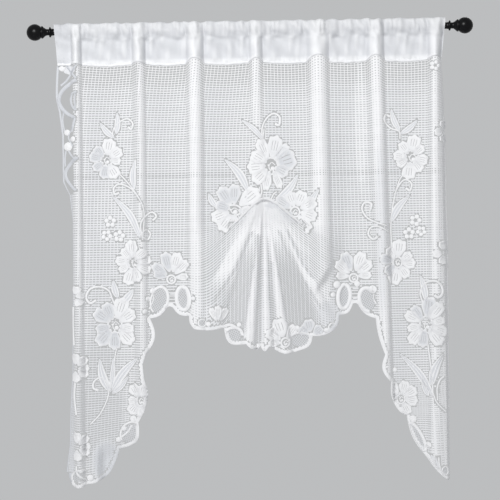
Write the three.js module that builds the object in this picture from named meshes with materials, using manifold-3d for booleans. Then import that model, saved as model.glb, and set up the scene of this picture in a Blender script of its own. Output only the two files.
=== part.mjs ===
// A lace kitchen curtain on its café rod, hanging free: a plain woven heading with a rod pocket, and
// below it one lace panel with an arched, scalloped hem, two long tails and a middle that is drawn up
// into a tuck, from which the lower lace falls as a fan.
// Millimetres, +Z up, +X to the right of someone facing the curtain, +Y away from them. The origin is
// on the rod's axis, halfway between its two ball finials.

import * as THREE from 'three';
import { mergeVertices } from 'three/addons/utils/BufferGeometryUtils.js';
import Module from 'manifold-3d';

const wasm = await Module();
wasm.setup();

// Rod and finials
const ROD_RADIUS = 8;
const BALL_RADIUS = 20;
const BALL_CENTRE_X = 516;        // half the distance between the two balls' centres
const GAP = 0.3;                  // left between the rod and a finial
const SEAM_GAP = 0.45;            // left between the heading and the lace, measured straight down

// Heading: a band of plain cloth, folded over the rod and sewn to the lace along its lower edge
const HEADING_TOP = 21;           // above the rod's axis
const CREASE_Z = -23;             // line of stitching that closes the rod pocket
const SEAM_Z = -80;               // lower edge, where the lace begins
const HEADING_LEFT = -463;        // ends of the seam
const HEADING_RIGHT = 459;
const HEADING_FLARE = { left: 7, right: 10 };   // the pocket reaches this much further than the seam
const HEADING_THICKNESS = 1.6;
const POCKET_REACH = 14.2;        // from the rod's axis to the middle of the cloth, front and back
const POCKET_FOLD_SHARE = 0.42;   // how much of a fold's depth is left where it passes the rod
const PUCKER = 1.8;               // height of the small gathers along the top

// Lace panel
const LACE_THICKNESS = 2;
const SEAM_SAG = 4;               // the lace's top edge hangs this much lower between two folds
const SEAM_REACH = 80;            // distance below the seam over which its ups and downs fade
const HEM_REACH = 1112;           // length of cloth measured down from the rod's axis, before the hem is cut

// Upright folds: centre at the seam, sideways drift by the time the tails end, half the width of the
// fold's foot, how far it stands forward at the seam, what is left of that depth at three levels, and
// how much higher the seam runs on the fold's crown
const FOLDS = [
  { x: -417, drift: -8, half: 13, depth: 25, high: 1.0, middle: 1.0, low: 1.1, rise: 3 },
  { x: -268, drift: -7, half: 17, depth: 27, high: 1.0, middle: 0.95, low: 0.5, rise: 5 },
  { x: -133, drift: -14, half: 22, depth: 30, high: 1.0, middle: 0.9, low: 0.8, rise: 12 },
  { x: 13, drift: 0, half: 17, depth: 23, high: 0.25, middle: 0, low: 0, rise: 10 },
  { x: 162, drift: 0, half: 27, depth: 31, high: 1.05, middle: 1.0, low: 0.8, rise: 15 },
  { x: 300, drift: 18, half: 22, depth: 28, high: 1.0, middle: 1.0, low: 0.8, rise: 12 },
  { x: 441, drift: -20, half: 16, depth: 26, high: 0.95, middle: 0.85, low: 0.7, rise: 8 },
];
const FOLD_LEVELS = { high: 290, middle: 560 };
const FOLD_ROUNDNESS = 0.5;       // under 1 gives a fold a flatter crown and steeper sides
const PANEL_HOLLOW = 3;           // the cloth between two folds lies back by this much

// Side borders, turned back behind the first and the last fold. A turn is the angle in degrees
// between the border and the curtain's plane at a length of cloth, from 0, lying flat, to past 90,
// tucked in behind.
const LEFT_BORDER = {
  x: -430,
  width: 40,
  turns: [[80, 12], [155, 14], [190, 34], [300, 50], [360, 52], [390, 76], [465, 91], [560, 91],
    [643, 86], [811, 81], [924, 72], [1003, 66], [1070, 55]],
};
const RIGHT_BORDER = {
  x: 457,
  width: 38,
  turns: [[80, 87], [150, 80], [300, 75], [470, 72], [560, 71], [900, 75], [1112, 80]],
};
const BORDER_LOBE = 6;            // the border's edge swings in and out by this much
const BORDER_PITCH = 185;         // from one lobe of that edge to the next
const BORDER_START = -30;         // length of cloth at which the first lobe would be widest

// The drawn-up middle. The tuck is a Z of cloth: down, back up in front of itself, and down again.
const TUCK_X = 29;
const TUCK_TOP = -407;            // height of its upper edge at the middle
const TUCK_LEG = 60;              // length of the part that runs back up
const TUCK_BEND = 12.6;           // length of cloth in each of its two bends
const TUCK_CROWN = 10;            // half width over which the tuck is fully folded
const TUCK_LEFT = 165;            // how far to each side the cloth is drawn
const TUCK_RIGHT = 182;
const TUCK_EASE = 1.1;
const TUCK_BILLOW = 0.6;          // share of the half-open tuck's forward reach that gathers take up
const TUCK_START = -TUCK_TOP + TUCK_LEG - TUCK_BEND / 2;
const TUCK_END = TUCK_START + TUCK_LEG + TUCK_BEND;
const PULL_SHARE = 0.5;           // how far the fan's cloth is drawn in sideways at the tuck
const PULL_REACH = 108;
const FAN_REACH = 890;            // length of cloth at which the fan has its full spread
const FAN_APEX = TUCK_TOP + 25;   // the fan's folds spread from a point here

// Folds of the fan: slope of the fold's line away from upright, half its width as a slope, and height
const FAN_FOLDS = [
  { slope: -0.42, half: 0.16, height: 15 },
  { slope: -0.085, half: 0.048, height: 17 },
  { slope: 0.012, half: 0.042, height: 18 },
  { slope: 0.12, half: 0.055, height: 18 },
  { slope: 0.46, half: 0.07, height: 13 },
];
const FAN_RISE = 270;             // distance below the apex over which these folds reach their height

// Swags at both sides of the fan, where the rows of lace sink before they rise to the tuck
const SWAGS = [
  { x: -86, half: 64, drop: 30, from: 540, to: 740 },
  { x: 150, half: 46, drop: 12, from: 540, to: 700 },
];

// The fold right of the fan ends in a slanted edge
const FOLD_END = { x: 162, reach: 34, left: [137, -622], right: [186, -560], blend: 36 };

// Each tail swings: its inner side is lifted, and the left one's lower inner part lies further back
const TAILS = [
  { outer: -400, inner: -270, from: 820, to: 1000, lift: 22 },
  { outer: 440, inner: 330, from: 900, to: 1060, lift: 6 },
];
const TAIL_STEP = { x: -386, width: 20, from: 985, to: 1050, back: 26 };

// The hem, from the left tail's outer corner to the right one's. Bulge is how far the arc to the next
// point swells away from the cloth.
const HEM = [
  { x: -455, z: -1061, bulge: 21 }, { x: -406, z: -1086, bulge: 2 }, { x: -379, z: -1079, bulge: 5 },
  { x: -347, z: -1047, bulge: 1 }, { x: -330, z: -1004, bulge: 23 }, { x: -283, z: -939, bulge: 14 },
  { x: -267, z: -834, bulge: 0 }, { x: -270, z: -800, bulge: 0 }, { x: -261, z: -775, bulge: 16 },
  { x: -251, z: -691, bulge: 7 }, { x: -211, z: -666, bulge: -3 }, { x: -196, z: -666, bulge: 8 },
  { x: -157, z: -686, bulge: 5 }, { x: -144, z: -718, bulge: 4 }, { x: -74, z: -716, bulge: 22 },
  { x: -22, z: -755, bulge: 4 }, { x: 6, z: -770, bulge: 0 }, { x: 12, z: -760, bulge: 12 },
  { x: 34, z: -762, bulge: 12 }, { x: 108, z: -773, bulge: 9 }, { x: 138, z: -739, bulge: 5 },
  { x: 188, z: -726, bulge: 5 }, { x: 202, z: -691, bulge: 9 }, { x: 236, z: -664, bulge: -2 },
  { x: 248, z: -665, bulge: 7 }, { x: 290, z: -700, bulge: 4 }, { x: 310, z: -786, bulge: 14 },
  { x: 324, z: -852, bulge: 7 }, { x: 337, z: -915, bulge: 3 }, { x: 361, z: -934, bulge: 10 },
  { x: 406, z: -1033, bulge: 5 }, { x: 461, z: -1093, bulge: 0 },
];
const HEM_STEPS = 4;              // straight pieces in each arc
const CUT_BOX = { left: -560, right: 560, bottom: -1220, near: -140, far: 90 };

// Small helpers

const clamp = (value, low, high) => Math.min(high, Math.max(low, value));

function smooth(from, to, value) {
  const t = clamp((value - from) / (to - from), 0, 1);
  return t * t * (3 - 2 * t);
}

function bump(offset) {
  return Math.abs(offset) >= 1 ? 0 : Math.cos(offset * Math.PI / 2) ** (2 * FOLD_ROUNDNESS);
}

function along(table, value) {
  const last = table.length - 1;
  if (value <= table[0][0]) return table[0][1];
  for (let i = 0; i < last; i += 1) {
    const [from, a] = table[i];
    const [to, b] = table[i + 1];
    if (value <= to) return a + (b - a) * (value - from) / (to - from);
  }
  return table[last][1];
}

// The cloth's shape. s is where a point of the cloth would lie from left to right with no drift, and v
// is the length of cloth above it, measured down from the height of the rod's axis.

const SEAM_V = -SEAM_Z;
const DRIFTS = [[HEADING_LEFT, FOLDS[0].drift], ...FOLDS.map((f) => [f.x, f.drift]), [RIGHT_BORDER.x, 0]];

function drift(s, v) {
  return along(DRIFTS, s) * clamp((v - SEAM_V) / (HEM_REACH - SEAM_V), 0, 1);
}

function foldDepth(s, v) {
  let depth = 0;
  for (const fold of FOLDS) {
    const share = along([[SEAM_V, 1], [FOLD_LEVELS.high, fold.high], [FOLD_LEVELS.middle, fold.middle],
      [HEM_REACH, fold.low]], v);
    depth += fold.depth * share * bump((s - fold.x) / fold.half);
  }
  return depth;
}

// How much higher than midway between the folds a row of the cloth runs near the seam
function rise(s) {
  return FOLDS.reduce((sum, fold) => sum + fold.rise * bump((s - fold.x) / fold.half), 0);
}

function hollow(s) {
  const after = FOLDS.findIndex((f) => f.x > s);
  if (after <= 0) return 0;
  const between = (s - FOLDS[after - 1].x) / (FOLDS[after].x - FOLDS[after - 1].x);
  return Math.sin(Math.PI * between) ** 2;
}

// How far the tuck is folded at s: pi is fully folded, 0 is flat.
function tuckAngle(s) {
  const aside = Math.abs(s - TUCK_X) - TUCK_CROWN;
  const reach = (s < TUCK_X ? TUCK_LEFT : TUCK_RIGHT) - TUCK_CROWN;
  return Math.PI * clamp(1 - Math.max(aside, 0) / reach, 0, 1) ** TUCK_EASE;
}

// The way down through the tuck for a length of cloth v: how far it drops, and how far it comes
// forward. The cloth turns by the tuck's angle in one bend, runs straight, and turns back.
function throughTuck(v, angle) {
  const into = clamp(v - TUCK_START, 0, TUCK_BEND);
  const straight = clamp(v - TUCK_START - TUCK_BEND, 0, TUCK_LEG - TUCK_BEND);
  const out = clamp(v - TUCK_START - TUCK_LEG, 0, TUCK_BEND);
  const past = Math.max(v - TUCK_END, 0);
  const before = Math.min(v, TUCK_START);
  if (angle < 0.001) return { drop: v, forward: 0 };
  const rate = angle / TUCK_BEND;
  const turnedBack = angle - rate * out;
  const billow = 1 - TUCK_BILLOW * Math.sin(angle);
  return {
    drop: before + past + Math.sin(rate * into) / rate + straight * Math.cos(angle)
      + (Math.sin(angle) - Math.sin(turnedBack)) / rate,
    forward: billow * ((1 - Math.cos(rate * into)) / rate + straight * Math.sin(angle)
      + (Math.cos(turnedBack) - Math.cos(angle)) / rate),
  };
}

function fanRelief(x, z) {
  const below = FAN_APEX - z;
  if (below <= 0) return 0;
  let height = 0;
  for (const fold of FAN_FOLDS) {
    height = Math.max(height, fold.height * bump(((x - TUCK_X) / below - fold.slope) / fold.half));
  }
  return height * Math.min(below / FAN_RISE, 1);
}

// The front of the curtain at s and v, as a point with depth measured towards the viewer.
function hungPoint(s, v) {
  const angle = tuckAngle(s);
  const { drop, forward } = throughTuck(v, angle);
  const inFan = smooth(TUCK_START + TUCK_BEND, TUCK_END, v);
  const spread = clamp((v - TUCK_END) / (FAN_REACH - TUCK_END), 0, 1);
  const aside = s - TUCK_X;
  const pull = PULL_SHARE * clamp(1 - Math.abs(aside) / PULL_REACH, 0, 1) * inFan * (1 - spread);
  const x = s + drift(s, v) - aside * pull;
  let z = -drop + (rise(s) - SEAM_SAG * hollow(s)) * Math.exp((SEAM_V - v) / SEAM_REACH);
  for (const swag of SWAGS) {
    z -= swag.drop * bump((s - swag.x) / swag.half) * smooth(swag.from, swag.to, v);
  }
  for (const tail of TAILS) {
    z += tail.lift * clamp((s - tail.outer) / (tail.inner - tail.outer), 0, 1) * smooth(tail.from, tail.to, v);
  }
  let folds = foldDepth(s, v);
  if (Math.abs(s - FOLD_END.x) < FOLD_END.reach) {
    const across = (x - FOLD_END.left[0]) / (FOLD_END.right[0] - FOLD_END.left[0]);
    const endZ = FOLD_END.left[1] + (FOLD_END.right[1] - FOLD_END.left[1]) * clamp(across, -0.3, 1.3);
    folds *= smooth(endZ - FOLD_END.blend, endZ, z);
  }
  const drawn = angle / Math.PI;
  const step = smooth(TAIL_STEP.x, TAIL_STEP.x + TAIL_STEP.width, x) * smooth(TAIL_STEP.from, TAIL_STEP.to, v);
  const backStep = x < FOLDS[1].x ? TAIL_STEP.back * step : 0;
  const depth = folds * (1 - 0.45 * inFan * drawn) - PANEL_HOLLOW * hollow(s)
    + forward * (1 - 0.5 * spread) + fanRelief(x, z) * inFan * Math.min(1, 3 * drawn) - backStep;
  return new THREE.Vector3(x, -depth, z);
}

// A turned-back border: past is the length of cloth beyond the border's start.
function borderPoint(border, side, past, v) {
  const start = hungPoint(border.x, v);
  const turn = THREE.MathUtils.degToRad(along(border.turns, v));
  return new THREE.Vector3(
    start.x + side * past * Math.cos(turn), start.y + past * Math.sin(turn), start.z);
}

function clothPoint(s, v) {
  if (s < LEFT_BORDER.x) return borderPoint(LEFT_BORDER, -1, LEFT_BORDER.x - s, v);
  if (s > RIGHT_BORDER.x) return borderPoint(RIGHT_BORDER, 1, s - RIGHT_BORDER.x, v);
  return hungPoint(s, v);
}

// Rows and columns on which the cloth is measured

function fill(from, to, step) {
  const count = Math.max(1, Math.round((to - from) / step));
  return Array.from({ length: count }, (_, i) => from + (to - from) * i / count);
}

function columnsBetween(panelStep) {
  const columns = [];
  FOLDS.forEach((fold, k) => {
    columns.push(...[-1, -0.68, -0.36, 0, 0.36, 0.68].map((q) => fold.x + q * fold.half));
    const next = FOLDS[k + 1];
    if (next) columns.push(...fill(fold.x + fold.half, next.x - next.half, panelStep));
  });
  return columns;
}

const FAN_COLUMN_STEP = 7.5;
const FAN_COLUMNS = 60;           // closely set columns run this far to each side of the tuck

// The heading and the lace are measured on the same columns, so that their edges meet all along.
function sharedColumns() {
  const fan = fill(TUCK_X - FAN_COLUMNS, TUCK_X + FAN_COLUMNS, FAN_COLUMN_STEP);
  const free = columnsBetween(22).filter((s) => Math.abs(s - TUCK_X) > FAN_COLUMNS + 5);
  const wide = free.filter((s, i) => Math.abs(s - TUCK_X) < TUCK_RIGHT || i % 2 === 0 || inFold(s));
  return [...wide, ...fan, TUCK_X + FAN_COLUMNS]
    .filter((s) => s > LEFT_BORDER.x && s < RIGHT_BORDER.x).sort((a, b) => a - b);
}

function laceColumns() {
  const steps = [0, 0.35, 0.7, 1];
  return [
    ...steps.map((q) => LEFT_BORDER.x - (1 - q) * LEFT_BORDER.width),
    ...sharedColumns(),
    ...steps.map((q) => RIGHT_BORDER.x + q * RIGHT_BORDER.width),
  ];
}

function inFold(s) {
  return FOLDS.some((f) => Math.abs(s - f.x) <= f.half);
}

function laceRows() {
  const bend = [0, 1 / 3, 2 / 3, 1].map((q) => q * TUCK_BEND);
  return [
    SEAM_V + SEAM_GAP, 130, 200, 270, 340, 400, 435,
    ...bend.map((b) => TUCK_START + b),
    TUCK_START + (TUCK_LEG + TUCK_BEND) / 2,
    ...bend.map((b) => TUCK_START + TUCK_LEG + b),
    ...fill(TUCK_END + 22, 900, 36), 900,
    ...fill(950, HEM_REACH, 40), HEM_REACH,
  ];
}

// The edge of a turned-back border swings in and out in lobes.
function lobedColumn(s, v) {
  const lobe = BORDER_LOBE * Math.abs(Math.cos(Math.PI * (v - BORDER_START) / BORDER_PITCH));
  if (s < LEFT_BORDER.x - 0.9 * LEFT_BORDER.width) return s + BORDER_LOBE - lobe;
  if (s > RIGHT_BORDER.x + 0.9 * RIGHT_BORDER.width) return s - BORDER_LOBE + lobe;
  return s;
}

// Closed solids

function solidGeometry(vertices, triangles) {
  const geometry = new THREE.BufferGeometry();
  geometry.setAttribute('position', new THREE.Float32BufferAttribute(vertices.flatMap((p) => [p.x, p.y, p.z]), 3));
  geometry.setIndex(triangles);
  return geometry;
}

// A sheet with thickness over a grid of middle points, cut off level along its top edge.
function thickSheet(points, thickness) {
  const rows = points.length;
  const columns = points[0].length;
  const front = [];
  const back = [];
  for (let j = 0; j < rows; j += 1) {
    for (let i = 0; i < columns; i += 1) {
      const across = points[j][Math.min(i + 1, columns - 1)].clone().sub(points[j][Math.max(i - 1, 0)]);
      const down = points[Math.min(j + 1, rows - 1)][i].clone().sub(points[Math.max(j - 1, 0)][i]);
      const outward = down.cross(across);
      if (j === 0) outward.set(0, -1, 0);
      outward.setLength(thickness / 2);
      front.push(points[j][i].clone().add(outward));
      back.push(points[j][i].clone().sub(outward));
    }
  }
  const half = front.length;
  const triangles = [];
  const quad = (a, b, c, d) => triangles.push(a, b, c, a, c, d);
  const at = (j, i) => j * columns + i;
  for (let j = 0; j + 1 < rows; j += 1) {
    for (let i = 0; i + 1 < columns; i += 1) {
      quad(at(j, i), at(j + 1, i), at(j + 1, i + 1), at(j, i + 1));
      quad(half + at(j, i), half + at(j, i + 1), half + at(j + 1, i + 1), half + at(j + 1, i));
    }
  }
  for (let i = 0; i + 1 < columns; i += 1) {
    quad(at(0, i), at(0, i + 1), half + at(0, i + 1), half + at(0, i));
    quad(at(rows - 1, i + 1), at(rows - 1, i), half + at(rows - 1, i), half + at(rows - 1, i + 1));
  }
  for (let j = 0; j + 1 < rows; j += 1) {
    quad(at(j + 1, 0), at(j, 0), half + at(j, 0), half + at(j + 1, 0));
    quad(at(j, columns - 1), at(j + 1, columns - 1), half + at(j + 1, columns - 1), half + at(j, columns - 1));
  }
  return solidGeometry([...front, ...back], triangles);
}

function toSolid(geometry) {
  const bare = geometry.clone();
  bare.deleteAttribute('normal');
  bare.deleteAttribute('uv');
  const merged = mergeVertices(bare, 1e-4);
  return new wasm.Manifold(new wasm.Mesh({
    numProp: 3,
    vertProperties: new Float32Array(merged.attributes.position.array),
    triVerts: new Uint32Array(merged.index.array),
  }));
}

function toGeometry(solid) {
  const mesh = solid.getMesh();
  const geometry = new THREE.BufferGeometry();
  geometry.setAttribute('position', new THREE.Float32BufferAttribute(mesh.vertProperties, 3));
  geometry.setIndex(Array.from(mesh.triVerts));
  return geometry;
}

// Lace panel

// The hem's points, with each arc drawn as a few straight pieces.
function hemOutline() {
  const outline = [];
  HEM.forEach((point, k) => {
    const next = HEM[k + 1];
    outline.push(new THREE.Vector2(point.x, point.z));
    if (!next || point.bulge === 0) return;
    const run = new THREE.Vector2(next.x - point.x, next.z - point.z);
    const outward = new THREE.Vector2(run.y, -run.x).normalize();
    for (let i = 1; i < HEM_STEPS; i += 1) {
      const t = i / HEM_STEPS;
      outline.push(new THREE.Vector2(point.x, point.z).addScaledVector(run, t)
        .addScaledVector(outward, point.bulge * Math.sin(Math.PI * t)));
    }
  });
  return outline;
}

// Everything below the hem, as a block that runs from front to back.
function belowHem() {
  const hem = hemOutline();
  const shape = new THREE.Shape([
    ...hem,
    new THREE.Vector2(CUT_BOX.right, hem[hem.length - 1].y),
    new THREE.Vector2(CUT_BOX.right, CUT_BOX.bottom),
    new THREE.Vector2(CUT_BOX.left, CUT_BOX.bottom),
    new THREE.Vector2(CUT_BOX.left, hem[0].y),
  ]);
  const block = new THREE.ExtrudeGeometry(shape, { depth: CUT_BOX.far - CUT_BOX.near, bevelEnabled: false });
  return block.rotateX(Math.PI / 2).translate(0, CUT_BOX.far, 0);
}

function lacePanel() {
  const columns = laceColumns();
  const points = laceRows().map((v) => columns.map((s) => clothPoint(lobedColumn(s, v), v)));
  const sheet = toSolid(thickSheet(points, LACE_THICKNESS));
  return toGeometry(sheet.subtract(toSolid(belowHem())));
}

// Heading

// The heading's section at one place along the rod: the outer outline from the lower front edge over
// the top to the lower back edge, and the pocket's inner outline, which starts and ends at the crease.
function headingSection(s) {
  const half = HEADING_THICKNESS / 2;
  const fold = foldDepth(s, SEAM_V) - PANEL_HOLLOW * hollow(s);
  const gather = PUCKER * Math.sin(s * 0.21) * Math.sin(s * 0.047 + 1);
  const seamZ = SEAM_Z - SEAM_SAG * hollow(s) + rise(s);
  const front = POCKET_REACH + POCKET_FOLD_SHARE * fold + gather;
  const back = -POCKET_REACH + 0.6 * gather;
  const crease = 0.55 * fold + 1;
  const top = HEADING_TOP + gather;
  const path = [
    [fold, seamZ], [0.8 * fold, 0.5 * (SEAM_Z + CREASE_Z)], [crease, CREASE_Z],
    [0.8 * front, -13], [front, -3], [front, 8], [0.7 * front, top - 3.5], [0.1 * front, top - half],
    [0.7 * back, top - 3.5], [back, 7], [back, -6], [0.55 * back, -15], [crease, CREASE_Z],
  ].map(([forward, z]) => new THREE.Vector2(forward, z));
  const shift = (i, side) => {
    const ahead = path[Math.min(i + 1, path.length - 1)];
    const behind = path[Math.max(i - 1, 0)];
    const normal = new THREE.Vector2(ahead.y - behind.y, behind.x - ahead.x).normalize();
    return path[i].clone().addScaledVector(normal, side * half);
  };
  const outer = path.map((_, i) => shift(i, 1));
  outer[0] = new THREE.Vector2(fold + half, seamZ);
  outer[CREASE_FRONT] = new THREE.Vector2(crease + half, CREASE_Z);
  outer[CREASE_BACK] = new THREE.Vector2(crease - half, CREASE_Z);
  outer.push(new THREE.Vector2(0.8 * fold - half, path[1].y), new THREE.Vector2(fold - half, seamZ));
  const inner = [new THREE.Vector2(crease, CREASE_Z + 2.5 * half)];
  for (let i = CREASE_FRONT + 1; i < CREASE_BACK; i += 1) inner.push(shift(i, -1));
  return { outer, inner };
}

const CREASE_FRONT = 2;           // places of the crease in that outline
const CREASE_BACK = 12;

function headingColumns() {
  return [HEADING_LEFT, LEFT_BORDER.x - 16, LEFT_BORDER.x, ...sharedColumns(), HEADING_RIGHT];
}

function heading() {
  const columns = headingColumns();
  const sections = columns.map(headingSection);
  const { outer, inner } = sections[0];
  const stride = outer.length + inner.length;
  const flare = (k, z) => {
    const share = clamp((z - SEAM_Z) / (HEADING_TOP - SEAM_Z), 0, 1);
    if (k === 0) return -HEADING_FLARE.left * share;
    return k === columns.length - 1 ? HEADING_FLARE.right * share : 0;
  };
  const vertices = sections.flatMap((section, k) => [...section.outer, ...section.inner]
    .map((p) => new THREE.Vector3(columns[k] + flare(k, p.y), -p.x, p.y)));
  const triangles = [];
  const quad = (a, b, c, d) => triangles.push(a, b, c, a, c, d);
  const skin = (from, count, flip) => {
    for (let k = 0; k + 1 < columns.length; k += 1) {
      for (let i = 0; i < count; i += 1) {
        const a = k * stride + from + i;
        const b = k * stride + from + (i + 1) % count;
        if (flip) quad(a, b, b + stride, a + stride);
        else if (i >= CREASE_BACK) quad(a + stride, b + stride, b, a);
        else quad(a, a + stride, b + stride, b);
      }
    }
  };
  skin(0, outer.length, false);
  skin(outer.length, inner.length, true);
  // The two ends: the pocket's wall is a ring of cloth, and the band hangs below its crease.
  const cap = (base, flip) => {
    const face = (a, b, c) => triangles.push(...(flip ? [a, c, b] : [a, b, c]).map((i) => base + i));
    const inside = outer.length;
    for (let i = CREASE_FRONT; i < CREASE_BACK; i += 1) {
      const here = inside + i - CREASE_FRONT;
      const next = i === CREASE_BACK - 1 ? inside : here + 1;
      face(i, i + 1, next);
      face(i, next, here);
    }
    face(CREASE_FRONT, inside, CREASE_BACK);
    face(1, CREASE_FRONT, CREASE_BACK);
    face(1, CREASE_BACK, CREASE_BACK + 1);
    face(0, 1, CREASE_BACK + 1);
    face(0, CREASE_BACK + 1, CREASE_BACK + 2);
  };
  cap(0, false);
  cap((columns.length - 1) * stride, true);
  return solidGeometry(vertices, triangles);
}

// Rod and turned finials

const COLLAR_X = BALL_CENTRE_X - 44;   // inner end of the finial, where the rod stops
const BALL_STEPS = 9;
const TURNED_SIDES = 20;

function turned(profile) {
  const points = profile.map(([radius, height]) => new THREE.Vector2(radius, height));
  return new THREE.LatheGeometry(points, TURNED_SIDES);
}

function rod() {
  const half = COLLAR_X - GAP;
  return turned([[0, -half], [ROD_RADIUS, -half], [ROD_RADIUS, half], [0, half]]).rotateZ(Math.PI / 2);
}

// A ball with a shoulder, a narrow neck and one raised ring, turned about its own axis.
function finial(side) {
  const ball = [];
  for (let step = 0; step <= BALL_STEPS; step += 1) {
    const angle = Math.PI / 2 - step * (Math.PI / 2 + 0.9) / BALL_STEPS;
    ball.push([BALL_RADIUS * Math.cos(angle), BALL_RADIUS * Math.sin(angle)]);
  }
  ball[0][0] = 0;
  const neck = [
    [15.2, -16.2], [14.4, -19.5], [10.2, -23.5], [7.6, -28], [7.6, -33],
    [12.4, -35], [12.4, -38.5], [8.4, -40.5], [8.4, -44], [0, -44],
  ];
  const upright = turned([...ball, ...neck].reverse());
  return upright.rotateZ(side < 0 ? Math.PI / 2 : -Math.PI / 2).translate(side * BALL_CENTRE_X, 0, 0);
}

// Materials and the finished group

const lace = { color: 0xf3f3f4, roughness: 0.92, metalness: 0 };
const band = { color: 0xeceef0, roughness: 0.88, metalness: 0 };
const blackMetal = { color: 0x141416, roughness: 0.38, metalness: 0.7 };

const group = new THREE.Group();

function addPiece(name, geometry, finish) {
  const mesh = new THREE.Mesh(geometry, new THREE.MeshStandardMaterial(finish));
  mesh.name = name;
  group.add(mesh);
}

addPiece('curtain_rod', rod(), blackMetal);
addPiece('finial_left', finial(-1), blackMetal);
addPiece('finial_right', finial(1), blackMetal);
addPiece('heading', heading(), band);
addPiece('lace_panel', lacePanel(), lace);

export default group;
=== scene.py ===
"""A lace kitchen curtain on its café rod, hanging free.

The curtain is a plain woven heading with a rod pocket, and below it one panel of net lace with worked
flowers, a scalloped hem, two long tails and a middle that is drawn up into a tuck. All shapes are
worked out in millimetres and put into the meshes in metres.
"""

import math

import bpy
import numpy as np
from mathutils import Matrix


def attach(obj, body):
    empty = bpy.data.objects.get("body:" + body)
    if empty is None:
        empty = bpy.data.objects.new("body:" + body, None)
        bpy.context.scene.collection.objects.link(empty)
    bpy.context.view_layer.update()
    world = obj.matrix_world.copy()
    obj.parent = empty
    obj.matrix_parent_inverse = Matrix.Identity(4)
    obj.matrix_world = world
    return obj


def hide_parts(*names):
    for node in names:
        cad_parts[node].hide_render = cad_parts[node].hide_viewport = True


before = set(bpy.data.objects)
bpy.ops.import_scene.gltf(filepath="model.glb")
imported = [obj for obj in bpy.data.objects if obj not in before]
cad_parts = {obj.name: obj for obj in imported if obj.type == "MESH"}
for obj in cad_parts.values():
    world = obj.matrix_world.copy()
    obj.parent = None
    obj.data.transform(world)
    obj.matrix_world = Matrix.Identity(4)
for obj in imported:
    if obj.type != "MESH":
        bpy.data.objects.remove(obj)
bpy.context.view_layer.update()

MM = 0.001

# The curtain's sizes, in millimetres

BALL_RADIUS = 20
BALL_CENTRE_X = 516

HEADING_TOP = 21
CREASE_Z = -23
SEAM_Z = -80
HEADING_LEFT, HEADING_RIGHT = -463, 459
FLARE_LEFT, FLARE_RIGHT, FLARE_WIDE = 7, 10, 30
POCKET_REACH = 14.2          # how far the pocket stands off the rod's axis
POCKET_FOLD_SHARE = 0.42     # how much of the folds' depth shows on the pocket

# Lengths of cloth from the rod's axis to the seam and to the longest tail's end
SEAM_V, HEM_REACH = 80, 1112
# How far the seam sags between folds, and over what length of cloth that fades below it
SEAM_SAG, SEAM_REACH = 4, 80

# Upright folds: centre, drift, half width, depth, what is left of it at three levels, seam rise
FOLDS = [
    (-417, -8, 13, 25, 1.0, 1.0, 1.1, 3),
    (-268, -7, 17, 27, 1.0, 0.95, 0.5, 5),
    (-133, -14, 22, 30, 1.0, 0.9, 0.8, 12),
    (13, 0, 17, 23, 0.25, 0.0, 0.0, 10),
    (162, 0, 27, 31, 1.05, 1.0, 0.8, 15),
    (300, 18, 22, 28, 1.0, 1.0, 0.8, 12),
    (441, -20, 16, 26, 0.95, 0.85, 0.7, 8),
]
FOLD_LEVELS = (SEAM_V, 290, 560, HEM_REACH)
FOLD_CROWNS = (0.2, 0.3, 0.55, 0.5, 0.6, 0.5, 0.35)    # how much of each fold its close crown takes
FOLD_SHIFTS = (4, 6, 0, 0, 0, 0, 0)                    # how far the close part lies to its right
PANEL_HOLLOW = 3                                       # how far the cloth sinks back between folds

# Side borders: where they start, their width, and their turn in degrees by length of cloth
LEFT_EDGE, LEFT_WIDTH = -430, 40
LEFT_TURNS = [
    (80, 12), (155, 14), (190, 34), (300, 50), (360, 52), (390, 76), (465, 91),
    (560, 91), (643, 86), (811, 81), (924, 72), (1003, 66), (1070, 55),
]
RIGHT_EDGE, RIGHT_WIDTH = 457, 38
RIGHT_TURNS = [(80, 87), (150, 80), (300, 75), (470, 72), (560, 71), (900, 75), (1112, 80)]
# The borders' lobes: how far they swell, how long each is, and where the middle of one lies
BORDER_LOBE, BORDER_PITCH, BORDER_MIDDLE = 6, 185, -30

# The drawn-up middle: x, level of its top, length of a leg and of a bend, half width fully folded
TUCK_X, TUCK_TOP, TUCK_LEG, TUCK_BEND, TUCK_CROWN = 29, -407, 60, 12.6, 10
# Its reach to the left and right, how it opens out aside, how much flatter it bulges half folded
TUCK_LEFT, TUCK_RIGHT, TUCK_EASE, TUCK_BILLOW = 165, 182, 1.1, 0.6
TUCK_START = -TUCK_TOP + TUCK_LEG - TUCK_BEND / 2
TUCK_END = TUCK_START + TUCK_LEG + TUCK_BEND
TUCK_HIDES = 118    # about how much length of cloth the tuck takes up where it is fully folded
# How much the cloth is drawn in under the tuck, how far aside, and down to which length of cloth
PULL_SHARE, PULL_REACH, FAN_REACH = 0.5, 108, 890
FAN_APEX, FAN_RISE = TUCK_TOP + 25, 270
# Folds of the fan: slope, half width as a slope, height
FAN_FOLDS = [
    (-0.47, 0.16, 17), (-0.12, 0.05, 17), (-0.006, 0.046, 18), (0.106, 0.05, 18), (0.46, 0.07, 13),
]
FAN_FURROW = 5
# Swags: centre, half width, drop, from and to length of cloth
SWAGS = [(-86, 64, 30, 540, 740), (150, 46, 12, 540, 700)]
# One fold runs out above the fan's hem: its centre, its reach, how softly, and the line it ends on
FOLD_END_X, FOLD_END_REACH, FOLD_END_BLEND = 162, 34, 36
FOLD_END_LEFT, FOLD_END_RIGHT = (137, -622), (186, -560)
# Tails: outer and inner side, from and to length of cloth, lift
TAILS = [(-400, -270, 820, 1000, 22), (440, 330, 900, 1060, 6)]
# The left tail's inner corner lies further back: the x from which, the width of the change, from
# and to which length of cloth it comes, and how far back
STEP_X, STEP_WIDTH, STEP_FROM, STEP_TO, STEP_BACK = -386, 20, 985, 1050, 26

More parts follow.
